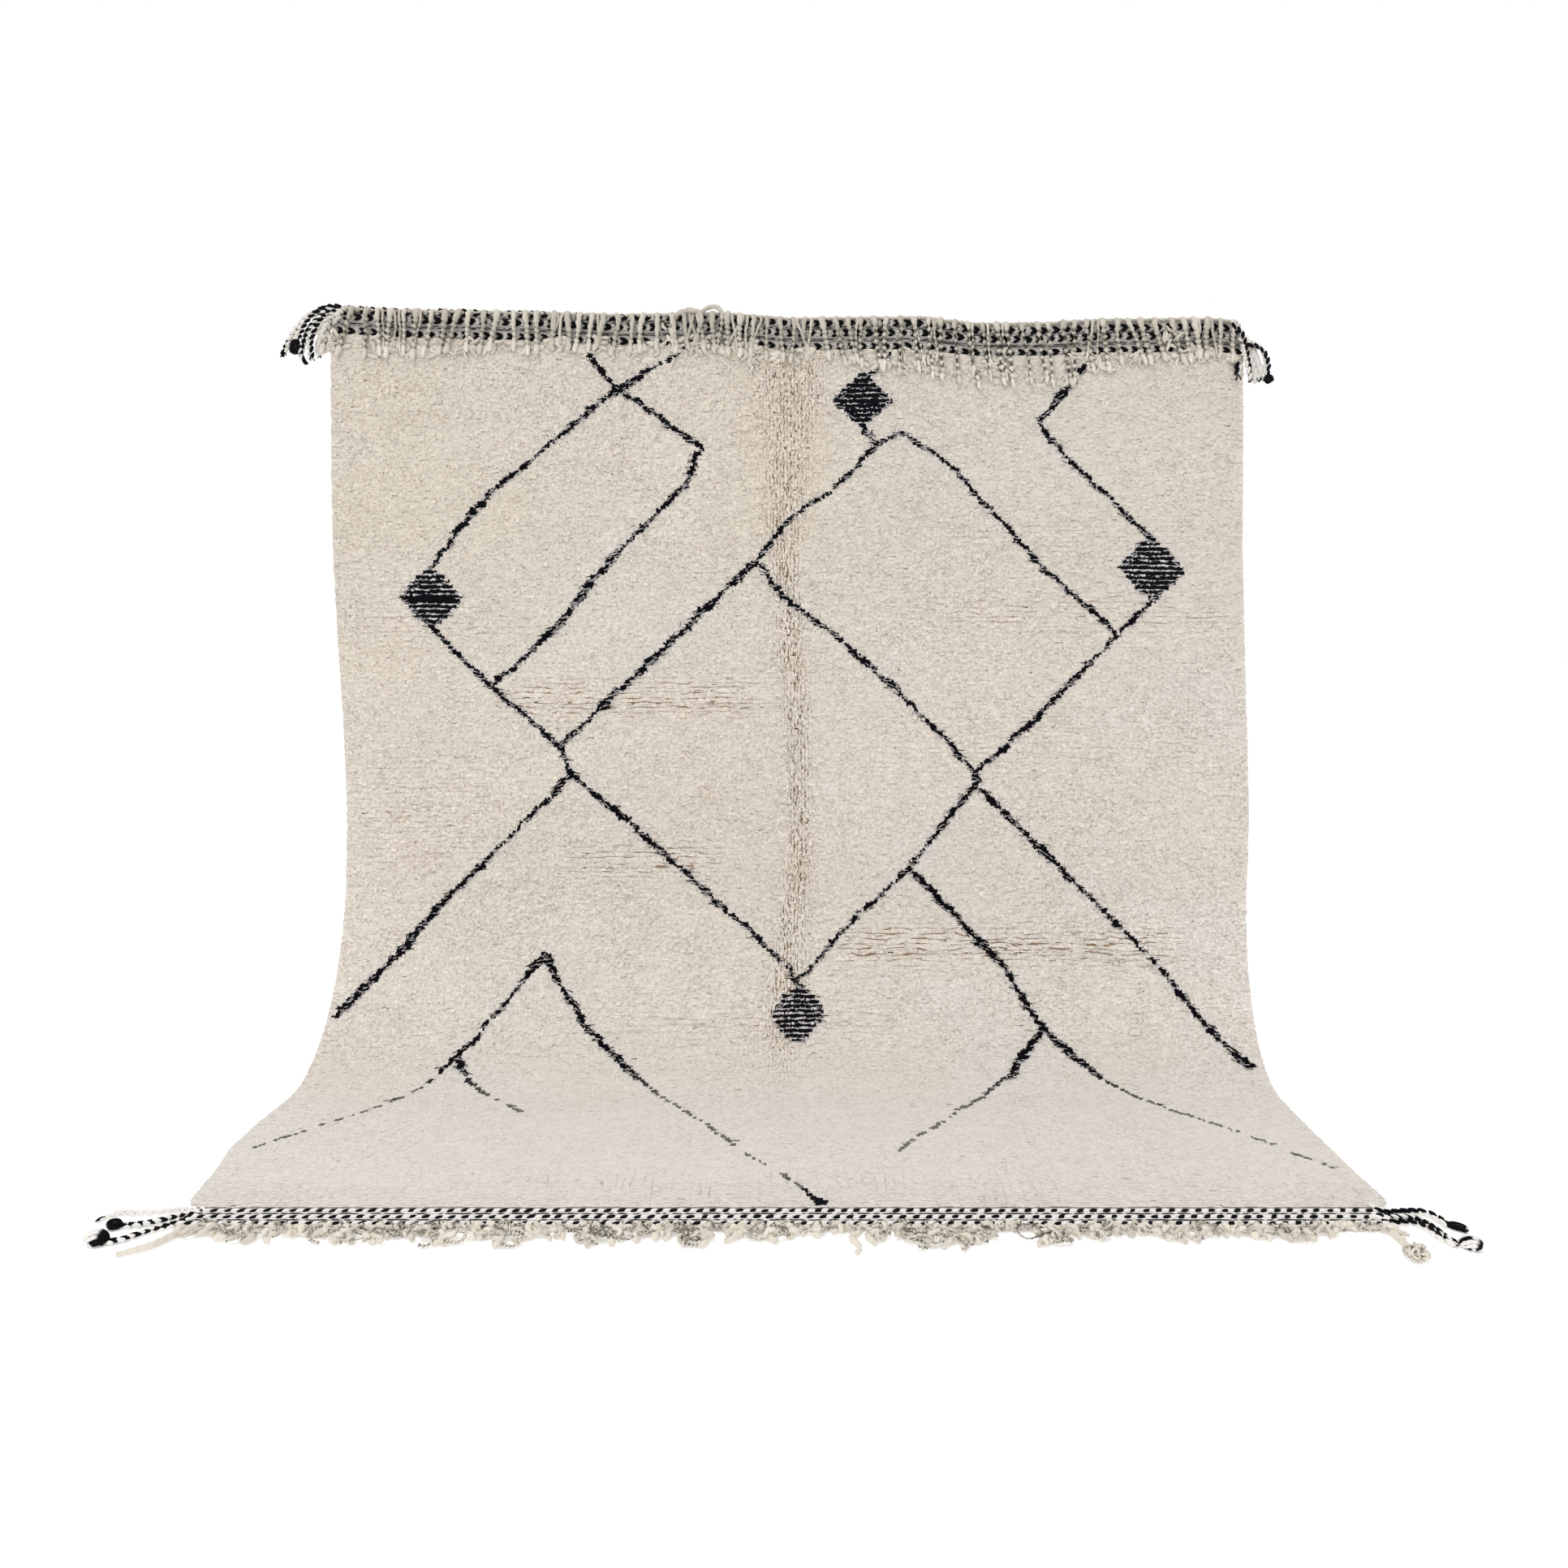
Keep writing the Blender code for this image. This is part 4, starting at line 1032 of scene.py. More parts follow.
topTwining = {
    "name": "topTwining", "start": -0.003, "width": 0.072, "bed": 0.0066, "repeat": 0.025,
    "rows": (((-0.8, -0.003), (-0.1, 0.002), (0.7, 0.0115)),      # across, along
             ((-0.8, 0.014), (-0.1, 0.0255), (0.7, 0.030)),
             ((-0.8, 0.045), (-0.1, 0.055), (0.7, 0.060))),
    "halves": ((-0.0032, 24.0), (0.0032, -24.0)),   # offset from the row's middle, slant in degrees
    "black": (0.0092, 0.0044, 0.0032), "white": (0.0050, 0.0036, 0.0034), "level": 0.0072, "greyAndShade": 1.0,
}
floorTwining = {
    "name": "floorTwining", "start": bandStart, "width": rug["floorBand"], "bed": 0.0052,
    "repeat": 0.022,
    "rows": (((0.0, 0.0085),), ((0.0, 0.0265),), ((0.0, 0.0445),)),
    "halves": ((0.0, -17.0),),
    "black": (0.0080, 0.0042, 0.0022), "white": (0.0074, 0.0050, 0.0028), "level": 0.0060, "greyAndShade": 0.0,
}
fineLine = {"half": 0.0012, "tick": 0.0054, "apart": 0.0019}


def stitchShape():
    mesh = bmesh.new()
    bmesh.ops.create_uvsphere(mesh, u_segments=6, v_segments=4, radius=1.0)
    return shapeData(mesh)


def bandRow(band, row, across):
    # the hung band's rows lie higher on the left, as it is drawn over its edge there
    return (0.0 if band is topTwining else band["start"]) + readTable(row, across)


def twinedRows(band, shape, chance):
    # one bulging stitch for each turn of the yarns, black and white in turn
    half = band["repeat"] / 2
    count = int(2 * rug["halfWidth"] / half)
    parts = []
    for number, row in enumerate(band["rows"]):
        phase = chance.uniform(-0.5, 0.5)
        for offset, slant in band["halves"]:
            middle = -rug["halfWidth"] + (np.arange(count) + 0.5 + 0.3 * phase) * half
            middle = middle + chance.normal(0.0, 0.0008, count)
            ink = (np.arange(count) + number) % 2
            along = bandRow(band, row, middle) + offset + chance.normal(0.0, 0.0004, count)
            angle = np.radians(slant + chance.normal(0.0, 5.0, count))
            black, white = np.array(band["black"])[:, None], np.array(band["white"])[:, None]
            long, wide, thick = np.where(ink == 1, black, white) * chance.uniform(0.90, 1.10, count)
            u = shape["points"][None, :, 2] * long[:, None]
            v = shape["points"][None, :, 0] * wide[:, None]
            w = shape["points"][None, :, 1] * thick[:, None]
            x = np.clip(middle[:, None] + u * np.cos(angle)[:, None] - v * np.sin(angle)[:, None],
                        -rug["halfWidth"] - 0.004, rug["halfWidth"] + 0.004)
            y = along[:, None] + u * np.sin(angle)[:, None] + v * np.cos(angle)[:, None]
            parts.append({"shape": shape, "points": drape(x, y, band["level"] + w),
                          "ink": ink[:, None].astype(float), "greyAndShade": band["greyAndShade"]})
    return parts


def fineLines(band, chance):
    # thin twined lines between the rows, ticked black and white; in pairs on the hung band
    steps = int(2 * rug["halfWidth"] / fineLine["tick"])
    shape = yarnBar(4, steps)
    across = np.linspace(-rug["halfWidth"], rug["halfWidth"], steps + 1)
    ring = np.rint(shape["points"][:, 2] * steps).astype(int)
    parts = []
    for above, below in zip(band["rows"], band["rows"][1:]):
        for offset in (-fineLine["apart"], fineLine["apart"]) if band is topTwining else (0.0,):
            along = offset + (bandRow(band, above, across) + bandRow(band, below, across)) / 2
            along = along + chance.normal(0.0, 0.0004, steps + 1)
            bulge = fineLine["half"] * chance.uniform(0.7, 1.2, steps + 1)
            y = along[ring] + shape["points"][:, 0] * bulge[ring]
            lift = band["bed"] + 0.0008 + shape["points"][:, 1] * bulge[ring]
            ink = np.where(chance.random(steps + 1) < 0.72, 0.95, 0.1)[ring]
            parts.append({"shape": shape, "points": drape(across[ring], y, lift)[None], "ink": ink[None],
                          "greyAndShade": band["greyAndShade"]})
    return parts


def bandBed(band):
    # plain light weave that shows between the rows
    mesh = bmesh.new()
    bmesh.ops.create_grid(mesh, x_segments=100, y_segments=4, size=1.0)
    shape = shapeData(mesh)
    along = band["start"] + band["width"] * (0.5 + 0.5 * shape["points"][:, 1])
    points = drape(shape["points"][:, 0] * rug["halfWidth"], along, band["bed"])
    # painted shade: the hung band's bed is darkened with black where the strands shade it
    return {"shape": shape, "points": points[None], "greyAndShade": band["greyAndShade"], "ink": 0.22 * band["greyAndShade"]}


def makeBand(band, seed):
    chance = np.random.default_rng(seed)
    parts = [bandBed(band)] + twinedRows(band, stitchShape(), chance) + fineLines(band, chance)
    return joinCopies(band["name"], parts, twinedYarn, ("ink", "greyAndShade"))


print("bands")
topBand = makeBand(topTwining, 71)
floorBand = makeBand(floorTwining, 72)

# Fringe: ivory strands of two plies; their places and ways are those of the solids

fringe = {
    "strands": 68,
    "jitter": 0.16,
    "wide": 0.0090,
    "root": 0.006,
    "leanWave": 0.009,
    "leanTurn": 0.55,
    "leanChance": 0.009,
    "cornerLean": 0.034,
    "cornerRun": 0.12,
    "fuller": 1.56,          # the yarn is a little fuller than its solid
    "doubled": 26,           # strands that show a second, thinner yarn
    "sides": 7,
    "steps": 18,
    "pinch": 0.24,
    "turn": 0.040,           # length of one full turn of the plies
    "headingSteps": 170,
    "headingEnd": 0.992,     # share of the half width that the heading cords reach
}
# the curly locks of loose wool at a hanging strand's end
lock = {
    "each": 4,               # at one strand's end
    "rings": 7,
    "half": 0.0062,
    "reach": (-0.008, 0.028),
    "spread": 0.010,
    "bow": 0.009,
    "stray": 0.0040,
    "lift": (0.0158, 0.0180),
    "flat": 0.26,
    "tone": (0.45, 0.75),
}
# the short fat curls that the tangles are made of
tangleCurl = {
    "steps": 7,
    "step": (0.0022, 0.0042),
    "heading": 0.9,          # chance in the direction of a curl, and in each of its steps
    "bend": 0.45,
    "lift": (0.0165, 0.0200),
    "half": (0.0030, 0.0050),
    "turn": 0.03,
    "tone": (0.20, 0.65),
}
# the curly ball in which the last long strand ends
ball = {
    "yarns": 24,
    "steps": 14,
    "size": (0.0185, 0.0165, 0.0085),
    "sizes": (0.65, 1.05),
    "turn": (1.6, 4.2),      # how far each yarn goes round, in radians
    "lift": 0.0105,
    "inwards": 0.006,
    "half": 0.0023,
    "plies": 0.016,          # length of one full turn of the plies
    "tone": (0.45, 1.1),
}
# which way the hanging strands lean, across the rug
fringeLean = ((-1.00, -0.004), (-0.60, -0.010), (-0.30, -0.004), (0.00, 0.006), (0.35, 0.012),
              (0.50, 0.024), (0.80, 0.018), (1.00, 0.004))
# tangles of loose wool on the hung end: across, along, their reach across and along, how many curls
tangles = (
    (-1.003, 0.074, 0.006, 0.026, 12), (-0.884, 0.078, 0.020, 0.026, 14),
    (-0.700, 0.082, 0.012, 0.012, 7), (-0.635, 0.080, 0.014, 0.010, 7),
    (-0.255, 0.056, 0.013, 0.030, 16), (-0.195, 0.074, 0.012, 0.012, 8),
    (-0.075, 0.100, 0.014, 0.022, 9), (0.260, 0.084, 0.014, 0.012, 6), (0.470, 0.086, 0.012, 0.012, 6),
    (0.625, 0.084, 0.014, 0.012, 8), (0.770, 0.086, 0.020, 0.012, 10),
    (0.845, 0.050, 0.013, 0.020, 12), (0.890, 0.070, 0.012, 0.012, 8),
)
# places where the floor end's fringe is missing: across, half width
fringeHoles = ((0.085, 0.022), (0.355, 0.026), (0.915, 0.034), (-0.52, 0.014))
# how far the strands fall over the band, and how far they reach out on the floor, across the rug
fringeFall = ((-1.00, 0.108), (-0.62, 0.086), (-0.25, 0.078), (0.10, 0.096), (0.35, 0.134),
              (0.62, 0.138), (0.72, 0.100), (1.00, 0.084))
fringeReach = ((-0.98, 0.028), (-0.66, 0.048), (-0.40, 0.040), (-0.15, 0.046), (-0.02, 0.027),
               (0.11, 0.060), (0.37, 0.050), (0.52, 0.030), (0.78, 0.038), (0.98, 0.026))
# a hanging strand: shares of its lean and fall, place along, height off the back, size
strandArch = (
    (0.00, 0.00, 0.0010, 0.0050, 0.9), (0.00, 0.00, -0.0046, 0.0100, 1.0),
    (0.00, 0.00, -0.0020, 0.0160, 1.0), (0.05, 0.00, 0.0090, 0.0185, 1.0),
    (0.35, 0.42, 0.0, 0.0185, 1.0), (0.75, 0.80, 0.0, 0.0215, 1.0), (1.00, 1.00, 0.0, 0.0205, 0.6),
)
# two loose strands stand up from the edge in loops: size, ways
looseLoops = (
    (1.25, ((-0.187, 0.006, 0.006), (-0.184, -0.010, 0.010), (-0.164, -0.019, 0.014),
            (-0.145, -0.012, 0.018), (-0.139, 0.008, 0.021), (-0.144, 0.045, 0.0215),
            (-0.152, 0.080, 0.0225))),
    (1.5, ((-0.252, 0.010, 0.008), (-0.240, -0.004, 0.012), (-0.216, -0.011, 0.016),
           (-0.194, -0.006, 0.020), (-0.186, 0.014, 0.022), (-0.194, 0.045, 0.0225),
           (-0.206, 0.070, 0.022))),
)
# the floor end's strands, thick twisted ones below and thin loose ones above: half width, share of the
# reach, curl, lowest and highest lift, sides, length of one turn
floorLayers = (
    (0.0056, 1.00, 0.9, 0.0056, 0.0070, 7, 0.024), (0.0050, 0.78, 1.4, 0.0060, 0.0120, 7, 0.022),
    (0.0042, 0.92, 1.8, 0.0045, 0.0130, 7, 0.020), (0.0024, 0.95, 2.3, 0.0060, 0.0150, 5, 0.016),
)
# two strands of the floor end are long, the last one ends in a ball: number, aside, reach
longStrands = {0: (-0.058, 0.072), 67: (0.004, 0.080)}


def fringePlaces():
    chance = random.Random(11)
    pitch = 2.0 * rug["halfWidth"] / fringe["strands"]
    jitter = fringe["jitter"] * pitch
    return [(number + 0.5) * pitch - rug["halfWidth"] + chance.uniform(-jitter, jitter)
            for number in range(fringe["strands"])]


def pathLength(paths):
    steps = np.linalg.norm(np.diff(paths, axis=1), axis=2)
    return np.concatenate((np.zeros((len(paths), 1)), np.cumsum(steps, axis=1)), axis=1)


def plaitYarn(shape, paths, outwards, half, chance, turn=None):
    # a yarn of two plies; half is half its width at each ring
    turn = fringe["turn"] if turn is None else turn
    twist = 2 * math.pi * pathLength(paths) / turn + chance.uniform(0.0, 6.28, (len(paths), 1))
    return bendYarn(shape, paths, outwards, half, 0.88 * half, twist, fringe["pinch"])


def yarnPart(shape, points, tone):
    return {"shape": shape, "points": points, "tone": np.broadcast_to(tone, points.shape[:2])}


def headingCord(along, lift, half, chance, tone):
    # the thick yarn that the strands are looped over, along the edge of a band
    steps = fringe["headingSteps"]
    across = np.linspace(-fringe["headingEnd"], fringe["headingEnd"], steps + 1) * rug["halfWidth"]
    wobble = chance.normal(0.0, 0.0005, (2, steps + 1))
    paths = drape(across, along + wobble[0], lift + wobble[1])[None]
    shape = yarnBar(6, steps)
    return yarnPart(shape, plaitYarn(shape, paths, (0.0, -1.0, 0.3), half, chance, 0.019), tone)


def strandRoute(place, lean, fall, lower=0.0):
    return [(place + leanShare * lean, along + fallShare * fall, lift - lower)
            for leanShare, fallShare, along, lift, size in strandArch]


def hangingRoutes():
    # ways of the strands over the upper edge and down, in the flat rug
    chance = random.Random(21)
    routes, sizes = [], []
    places = fringePlaces()
    for number, place in enumerate(places):
        fall = float(readTable(fringeFall, place)) * chance.uniform(0.93, 1.07)
        lean = fringe["leanWave"] * math.sin(fringe["leanTurn"] * number)
        stray = chance.uniform(-fringe["leanChance"], fringe["leanChance"])
        lean += stray + float(readTable(fringeLean, place))
        start = fringe["cornerRun"] - rug["halfWidth"] - place
        lean -= fringe["cornerLean"] * float(ease(start / fringe["cornerRun"]))
        routes.append(strandRoute(place, lean, fall))
        sizes.append(fringe["fuller"] * chance.uniform(0.74, 1.18))
    for number in sorted(chance.sample(range(2, fringe["strands"] - 2), fringe["doubled"])):
        place = places[number] + chance.choice((-1.0, 1.0)) * chance.uniform(0.007, 0.013)
        fall = float(readTable(fringeFall, place)) * chance.uniform(0.70, 0.98)
        lean = chance.gauss(0.0, 0.016)
        routes.append(strandRoute(place, lean, fall, 0.001))
        sizes.append(0.82)
    for size, route in looseLoops:
        routes.append(route)
        sizes.append(size)
    return np.array(routes), np.array(sizes)


def woolTangles(chance):
    # short fat curls of unspun wool, thrown over each other
    rows = np.array([tangle[:4] for tangle in tangles for number in range(tangle[4])])
    count, steps = len(rows), tangleCurl["steps"]
    middle = rows[:, :2] + chance.normal(0.0, 0.5, (count, 2)) * rows[:, 2:]
    heading = chance.normal(0.5 * math.pi, tangleCurl["heading"], (count, 1))
    bend = heading + np.cumsum(chance.normal(0.0, tangleCurl["bend"], (count, steps + 1)), axis=1)
    step = chance.uniform(*tangleCurl["step"], (count, 1))
    across = middle[:, :1] + np.cumsum(step * np.cos(bend), axis=1)
    along = middle[:, 1:] + np.cumsum(step * np.sin(bend), axis=1) - 4 * step
    lift = chance.uniform(*tangleCurl["lift"], (count, 1)) + 0.0010 * np.sin(np.arange(steps + 1) * 0.9)
    shape = yarnBar(5, steps)
    half = chance.uniform(*tangleCurl["half"], (count, 1)) * np.sin(np.linspace(0.5, 2.6, steps + 1))
    points = plaitYarn(shape, drape(across, along, lift), outOfWall, half, chance, tangleCurl["turn"])
    return yarnPart(shape, points, chance.uniform(*tangleCurl["tone"], (count, 1)))


def curlyLocks(places, shift):
    # each hanging strand ends in curly locks of loose wool that lie on the pile
    ends = np.repeat(places, lock["each"], axis=0)
    count, rings = len(ends), lock["rings"]
    reach = shift.uniform(*lock["reach"], count)
    spread = shift.normal(0.0, lock["spread"], count)
    bow = shift.normal(0.0, lock["bow"], (2, count))
    zero = np.zeros(count)
    start = ends + np.stack((shift.normal(0.0, lock["stray"], count), zero, zero), axis=-1)
    start[:, 2] = shift.uniform(*lock["lift"], count)
    steps = ((0.30 * spread + bow[0], 0.40 * reach, zero - 0.0003),
             (0.75 * spread + bow[1], 0.75 * reach, zero - 0.0006), (spread, reach, zero - 0.0016))
    route = np.stack([start] + [start + np.stack(step, axis=-1) for step in steps], axis=1)
    shape = yarnBar(4, rings - 1)
    taper = np.sin(np.linspace(0.75, 2.9, rings))
    thin = lock["half"] * taper[None, :] * shift.uniform(0.6, 1.25, (count, 1))
    points = bendYarn(shape, drapePath(smoothPath(route, rings)), outOfWall, thin, lock["flat"] * thin)
    return yarnPart(shape, points, shift.uniform(*lock["tone"], (count, 1)))


def makeTopFringe():
    shift = np.random.default_rng(22)
    routes, fullness = hangingRoutes()
    flat = smoothPath(routes, fringe["steps"] + 1)
    flat[:, 6:, 0] += np.cumsum(shift.normal(0.0, 0.0011, flat[:, 6:, 0].shape), axis=1)
    sizes = smoothPath([[(row[4], 0.0, 0.0) for row in strandArch]], fringe["steps"] + 1)[..., 0]
    sizes = sizes * fullness[:, None]
    shape = yarnBar(fringe["sides"], fringe["steps"])
    points = plaitYarn(shape, drapePath(flat), outOfWall, fringe["wide"] / 2 * sizes, shift)
    along = flat[..., 1][:, np.rint(shape["points"][:, 2] * fringe["steps"]).astype(int)]
    fade = 0.55 * ease((along - 0.045) / 0.05)      # less painted shade towards the ends
    parts = [yarnPart(shape, points, shift.uniform(0.00, 0.45, (len(routes), 1)) + fade)]
    parts.append(curlyLocks(flat[:, -4], shift))
    parts.append(woolTangles(shift))
    parts.append(headingCord(-0.0042, 0.0080, 0.0050, shift, 0.25))
    return joinCopies("topFringe", parts, fringeYarn, ("tone",))


def curlPaths(places, start, reach, chance, steps, curl):
    # yarns that wander over the floor in loops and end at their reach
    count = len(places)
    share = np.linspace(0.0, 1.0, steps + 1)
    turns = chance.uniform(0.8, 1.7, (count, 1)) * (reach[:, None] / 0.045) ** 0.5
    phase = chance.uniform(0.0, 6.28, (count, 1))
    bend = curl * chance.uniform(0.75, 1.15, (count, 1)) * ease(share / 0.2)
    angle = bend * np.sin(2 * math.pi * turns * share + phase)
    angle = angle + chance.normal(0.0, 0.12, (count, steps + 1))
    across = np.concatenate((np.zeros((count, 1)), np.cumsum(np.sin(angle[:, 1:]), axis=1)), axis=1)
    outward = np.concatenate((np.zeros((count, 1)), np.cumsum(np.cos(angle[:, 1:]), axis=1)), axis=1)
    scale = reach / np.maximum(outward.max(axis=1), 0.35 * steps)
    return places[:, None] + across * scale[:, None], start + outward * scale[:, None]


def longFloorStrands(start, places, shift):
    # the longest strand on the left lies out flat, the one on the right ends in a curly ball
    parts = []
    steps = 24
    shape = yarnBar(8, steps)
    for number, (aside, reach) in longStrands.items():
        place = places[number]
        route = [(place, start, 0.0055), (place + 0.05 * aside, start + 0.35 * reach, 0.0065),
                 (place + 0.38 * aside, start + 0.70 * reach, 0.0060),
                 (place + 0.72 * aside, start + 0.86 * reach, 0.0055),
                 (place + 1.05 * aside, start + 1.00 * reach, 0.0045)]
        paths = drapePath(smoothPath([route], steps + 1))
        share = np.linspace(0.0, 1.0, steps + 1)
        half = np.interp(share, (0.0, 0.6, 1.0), (0.0078, 0.0062, 0.0046))[None]
        parts.append(yarnPart(shape, plaitYarn(shape, paths, upwards, half, shift, 0.026), 0.85))
    middle = np.array((place + aside, start + reach - ball["inwards"], ball["lift"]))
    count, steps = ball["yarns"], ball["steps"]
    heading = unit(shift.normal(0.0, 1.0, (count, 3)))
    second = unit(np.cross(heading, shift.normal(0.0, 1.0, (count, 3))))
    turn = np.linspace(0.0, 1.0, steps + 1)[None, :, None] * shift.uniform(*ball["turn"], (count, 1, 1))
    size = np.array(ball["size"]) * shift.uniform(*ball["sizes"], (count, 1, 1))
    flat = middle + (heading[:, None] * np.cos(turn) + second[:, None] * np.sin(turn)) * size
    flat = flat + np.cumsum(shift.normal(0.0, 0.0006, flat.shape), axis=1)
    flat[..., 2] = np.maximum(flat[..., 2], 0.0026)
    shape = yarnBar(5, steps)
    points = plaitYarn(shape, drapePath(flat), upwards, ball["half"], shift, ball["plies"])
    parts.append(yarnPart(shape, points, shift.uniform(*ball["tone"], (count, 1))))
    return parts


def makeFloorFringe():
    chance = random.Random(31)
    shift = np.random.default_rng(32)
    places, reaches = [], []
    for place in fringePlaces():
        reach = float(readTable(fringeReach, place)) * chance.uniform(0.88, 1.10) + fringe["root"]
        number = len(reaches) + 1
        reaches.append(reach * (0.86 + 0.26 * math.sin(number * 1.35 + 1.2 * math.sin(number * 0.37))))
        places.append(place + chance.uniform(-0.005, 0.005))
    places, reaches = np.array(places), np.array(reaches)
    keep = np.array([number not in longStrands for number in range(len(places))])
    start = bandEnd + rug["gap"] + 0.001
    parts = []
    steps = 16
    for half, share, curl, low, high, sides, turn in floorLayers:
        starts = places[keep] + shift.uniform(-0.011, 0.011, keep.sum())
        reach = share * reaches[keep] * shift.uniform(0.78, 1.05, keep.sum())
        for middle, gap in fringeHoles:
            reach = np.where(np.abs(starts - middle) < gap, 0.22 * reach, reach)
        across, along = curlPaths(starts, start, reach, shift, steps, curl)
        # the corners' strands lean outwards
        outer = np.sign(starts) * ease((np.abs(starts) - 0.84) / 0.14)
        across = across + 0.95 * outer[:, None] * (along - start)
        wave = np.sin(np.linspace(0.0, 9.0, steps + 1) + shift.uniform(0.0, 6.28, (keep.sum(), 1)))
        lift = low + (high - low) * (0.5 + 0.5 * wave)
        shape = yarnBar(sides, steps)
        size = half * (1.0 + 0.18 * wave) * shift.uniform(0.80, 1.15, (keep.sum(), 1))
        points = plaitYarn(shape, drape(across, along, lift), upwards, size, shift, turn)
        parts.append(yarnPart(shape, points, shift.uniform(0.50, 1.10, (keep.sum(), 1))))
    parts.append(headingCord(bandEnd + 0.0030, 0.0052, 0.0042, shift, 0.85))
    parts += longFloorStrands(start, places, shift)
    return joinCopies("floorFringe", parts, fringeYarn, ("tone",))


print("fringe")
topFringe = makeTopFringe()
floorFringe = makeFloorFringe()

# Tails: at each corner the twined yarns of the band run out into three black and white cords

tail = {
    "bead": 0.0138,          # length of one turn of the yarns
    "beadHalf": 0.0094,
    "beadWide": 0.0042,
    "aside": 0.0032,         # how far the yarns lie from the cord's middle
    "tilt": 24.0,            # slant of the beads, in degrees
    "turn": 0.19,            # length in which the cord itself turns once
    "flat": 0.7,             # a cord is flatter than it is wide
    "inkRise": 0.0010,       # the black yarns stand out a little
    "underKnob": 0.8,        # share of a knob's length that the yarns leave free
}
# the yarns of a cord: ink, how far aside, size
mixedPair = ((0.0, -1.0, 1.05), (1.0, 1.0, 0.90))
whitePair = ((0.0, -0.9, 0.90), (0.0, 0.9, 0.85))
blackBetween = ((0.0, -1.25, 0.88), (1.0, 0.0, 1.00), (0.0, 1.25, 0.88))
woolBundle = ((0.0, -1.3, 1.25), (0.0, 0.0, 1.35), (0.0, 1.3, 1.25))
shortTassel = ((1.0, 0.9, 1.10), (0.0, -1.2, 1.20))
# for each cord its yarns, the half width, length and look of its wrapped end knob, and how far out
# from the corner, down from the band's edge and forward it goes
noKnob = (0.0, 0.0, "")
hangingTails = {
    "tailTopLeft": (
        (mixedPair, noKnob, (
            (-0.024, -0.004, 0.014), (0.010, 0.000, 0.018), (0.040, 0.016, 0.022),
            (0.060, 0.034, 0.022), (0.082, 0.056, 0.018), (0.098, 0.080, 0.014),
            (0.106, 0.100, 0.012))),
        (mixedPair, (0.0098, 0.034, "black"), (
            (-0.020, 0.002, 0.018), (0.008, 0.005, 0.026), (0.031, 0.018, 0.030),
            (0.050, 0.036, 0.030), (0.063, 0.054, 0.026), (0.073, 0.070, 0.022),
            (0.079, 0.086, 0.018), (0.082, 0.100, 0.016))),
        (blackBetween, noKnob, (
            (-0.016, 0.006, 0.020), (0.003, 0.010, 0.026), (0.024, 0.026, 0.026),
            (0.042, 0.044, 0.024), (0.054, 0.063, 0.020), (0.063, 0.084, 0.016),
            (0.066, 0.102, 0.014), (0.058, 0.116, 0.012))),
        (mixedPair, noKnob, (
            (-0.012, 0.012, 0.018), (0.008, 0.022, 0.022), (0.026, 0.040, 0.020),
            (0.040, 0.064, 0.018), (0.046, 0.088, 0.014), (0.044, 0.108, 0.012))),
        (woolBundle, noKnob, (
            (-0.010, 0.018, 0.014), (0.006, 0.036, 0.015), (0.020, 0.056, 0.014),
            (0.029, 0.078, 0.011), (0.028, 0.100, 0.010)))),
    "tailTopRight": (
        (mixedPair, noKnob, (
            (-0.024, 0.002, 0.018), (-0.006, 0.020, 0.022), (0.002, 0.048, 0.022),
            (0.007, 0.078, 0.022), (0.013, 0.106, 0.020), (0.017, 0.124, 0.018))),
        (mixedPair, (0.0092, 0.018, "black"), (
            (-0.004, 0.040, 0.018), (0.012, 0.044, 0.020), (0.028, 0.048, 0.022),
            (0.044, 0.064, 0.022), (0.052, 0.088, 0.020), (0.053, 0.112, 0.016),
            (0.063, 0.128, 0.014))),
        (woolBundle, noKnob, (
            (0.008, 0.038, 0.012), (0.024, 0.056, 0.013), (0.033, 0.080, 0.013),
            (0.039, 0.102, 0.012), (0.046, 0.120, 0.012))),
        (woolBundle, noKnob, (
            (0.004, 0.042, 0.011), (0.014, 0.064, 0.012), (0.021, 0.090, 0.012),
            (0.027, 0.110, 0.011), (0.036, 0.122, 0.011))),
        (shortTassel, noKnob, (
            (-0.012, 0.094, 0.020), (-0.013, 0.106, 0.021), (-0.014, 0.120, 0.020)))),
}
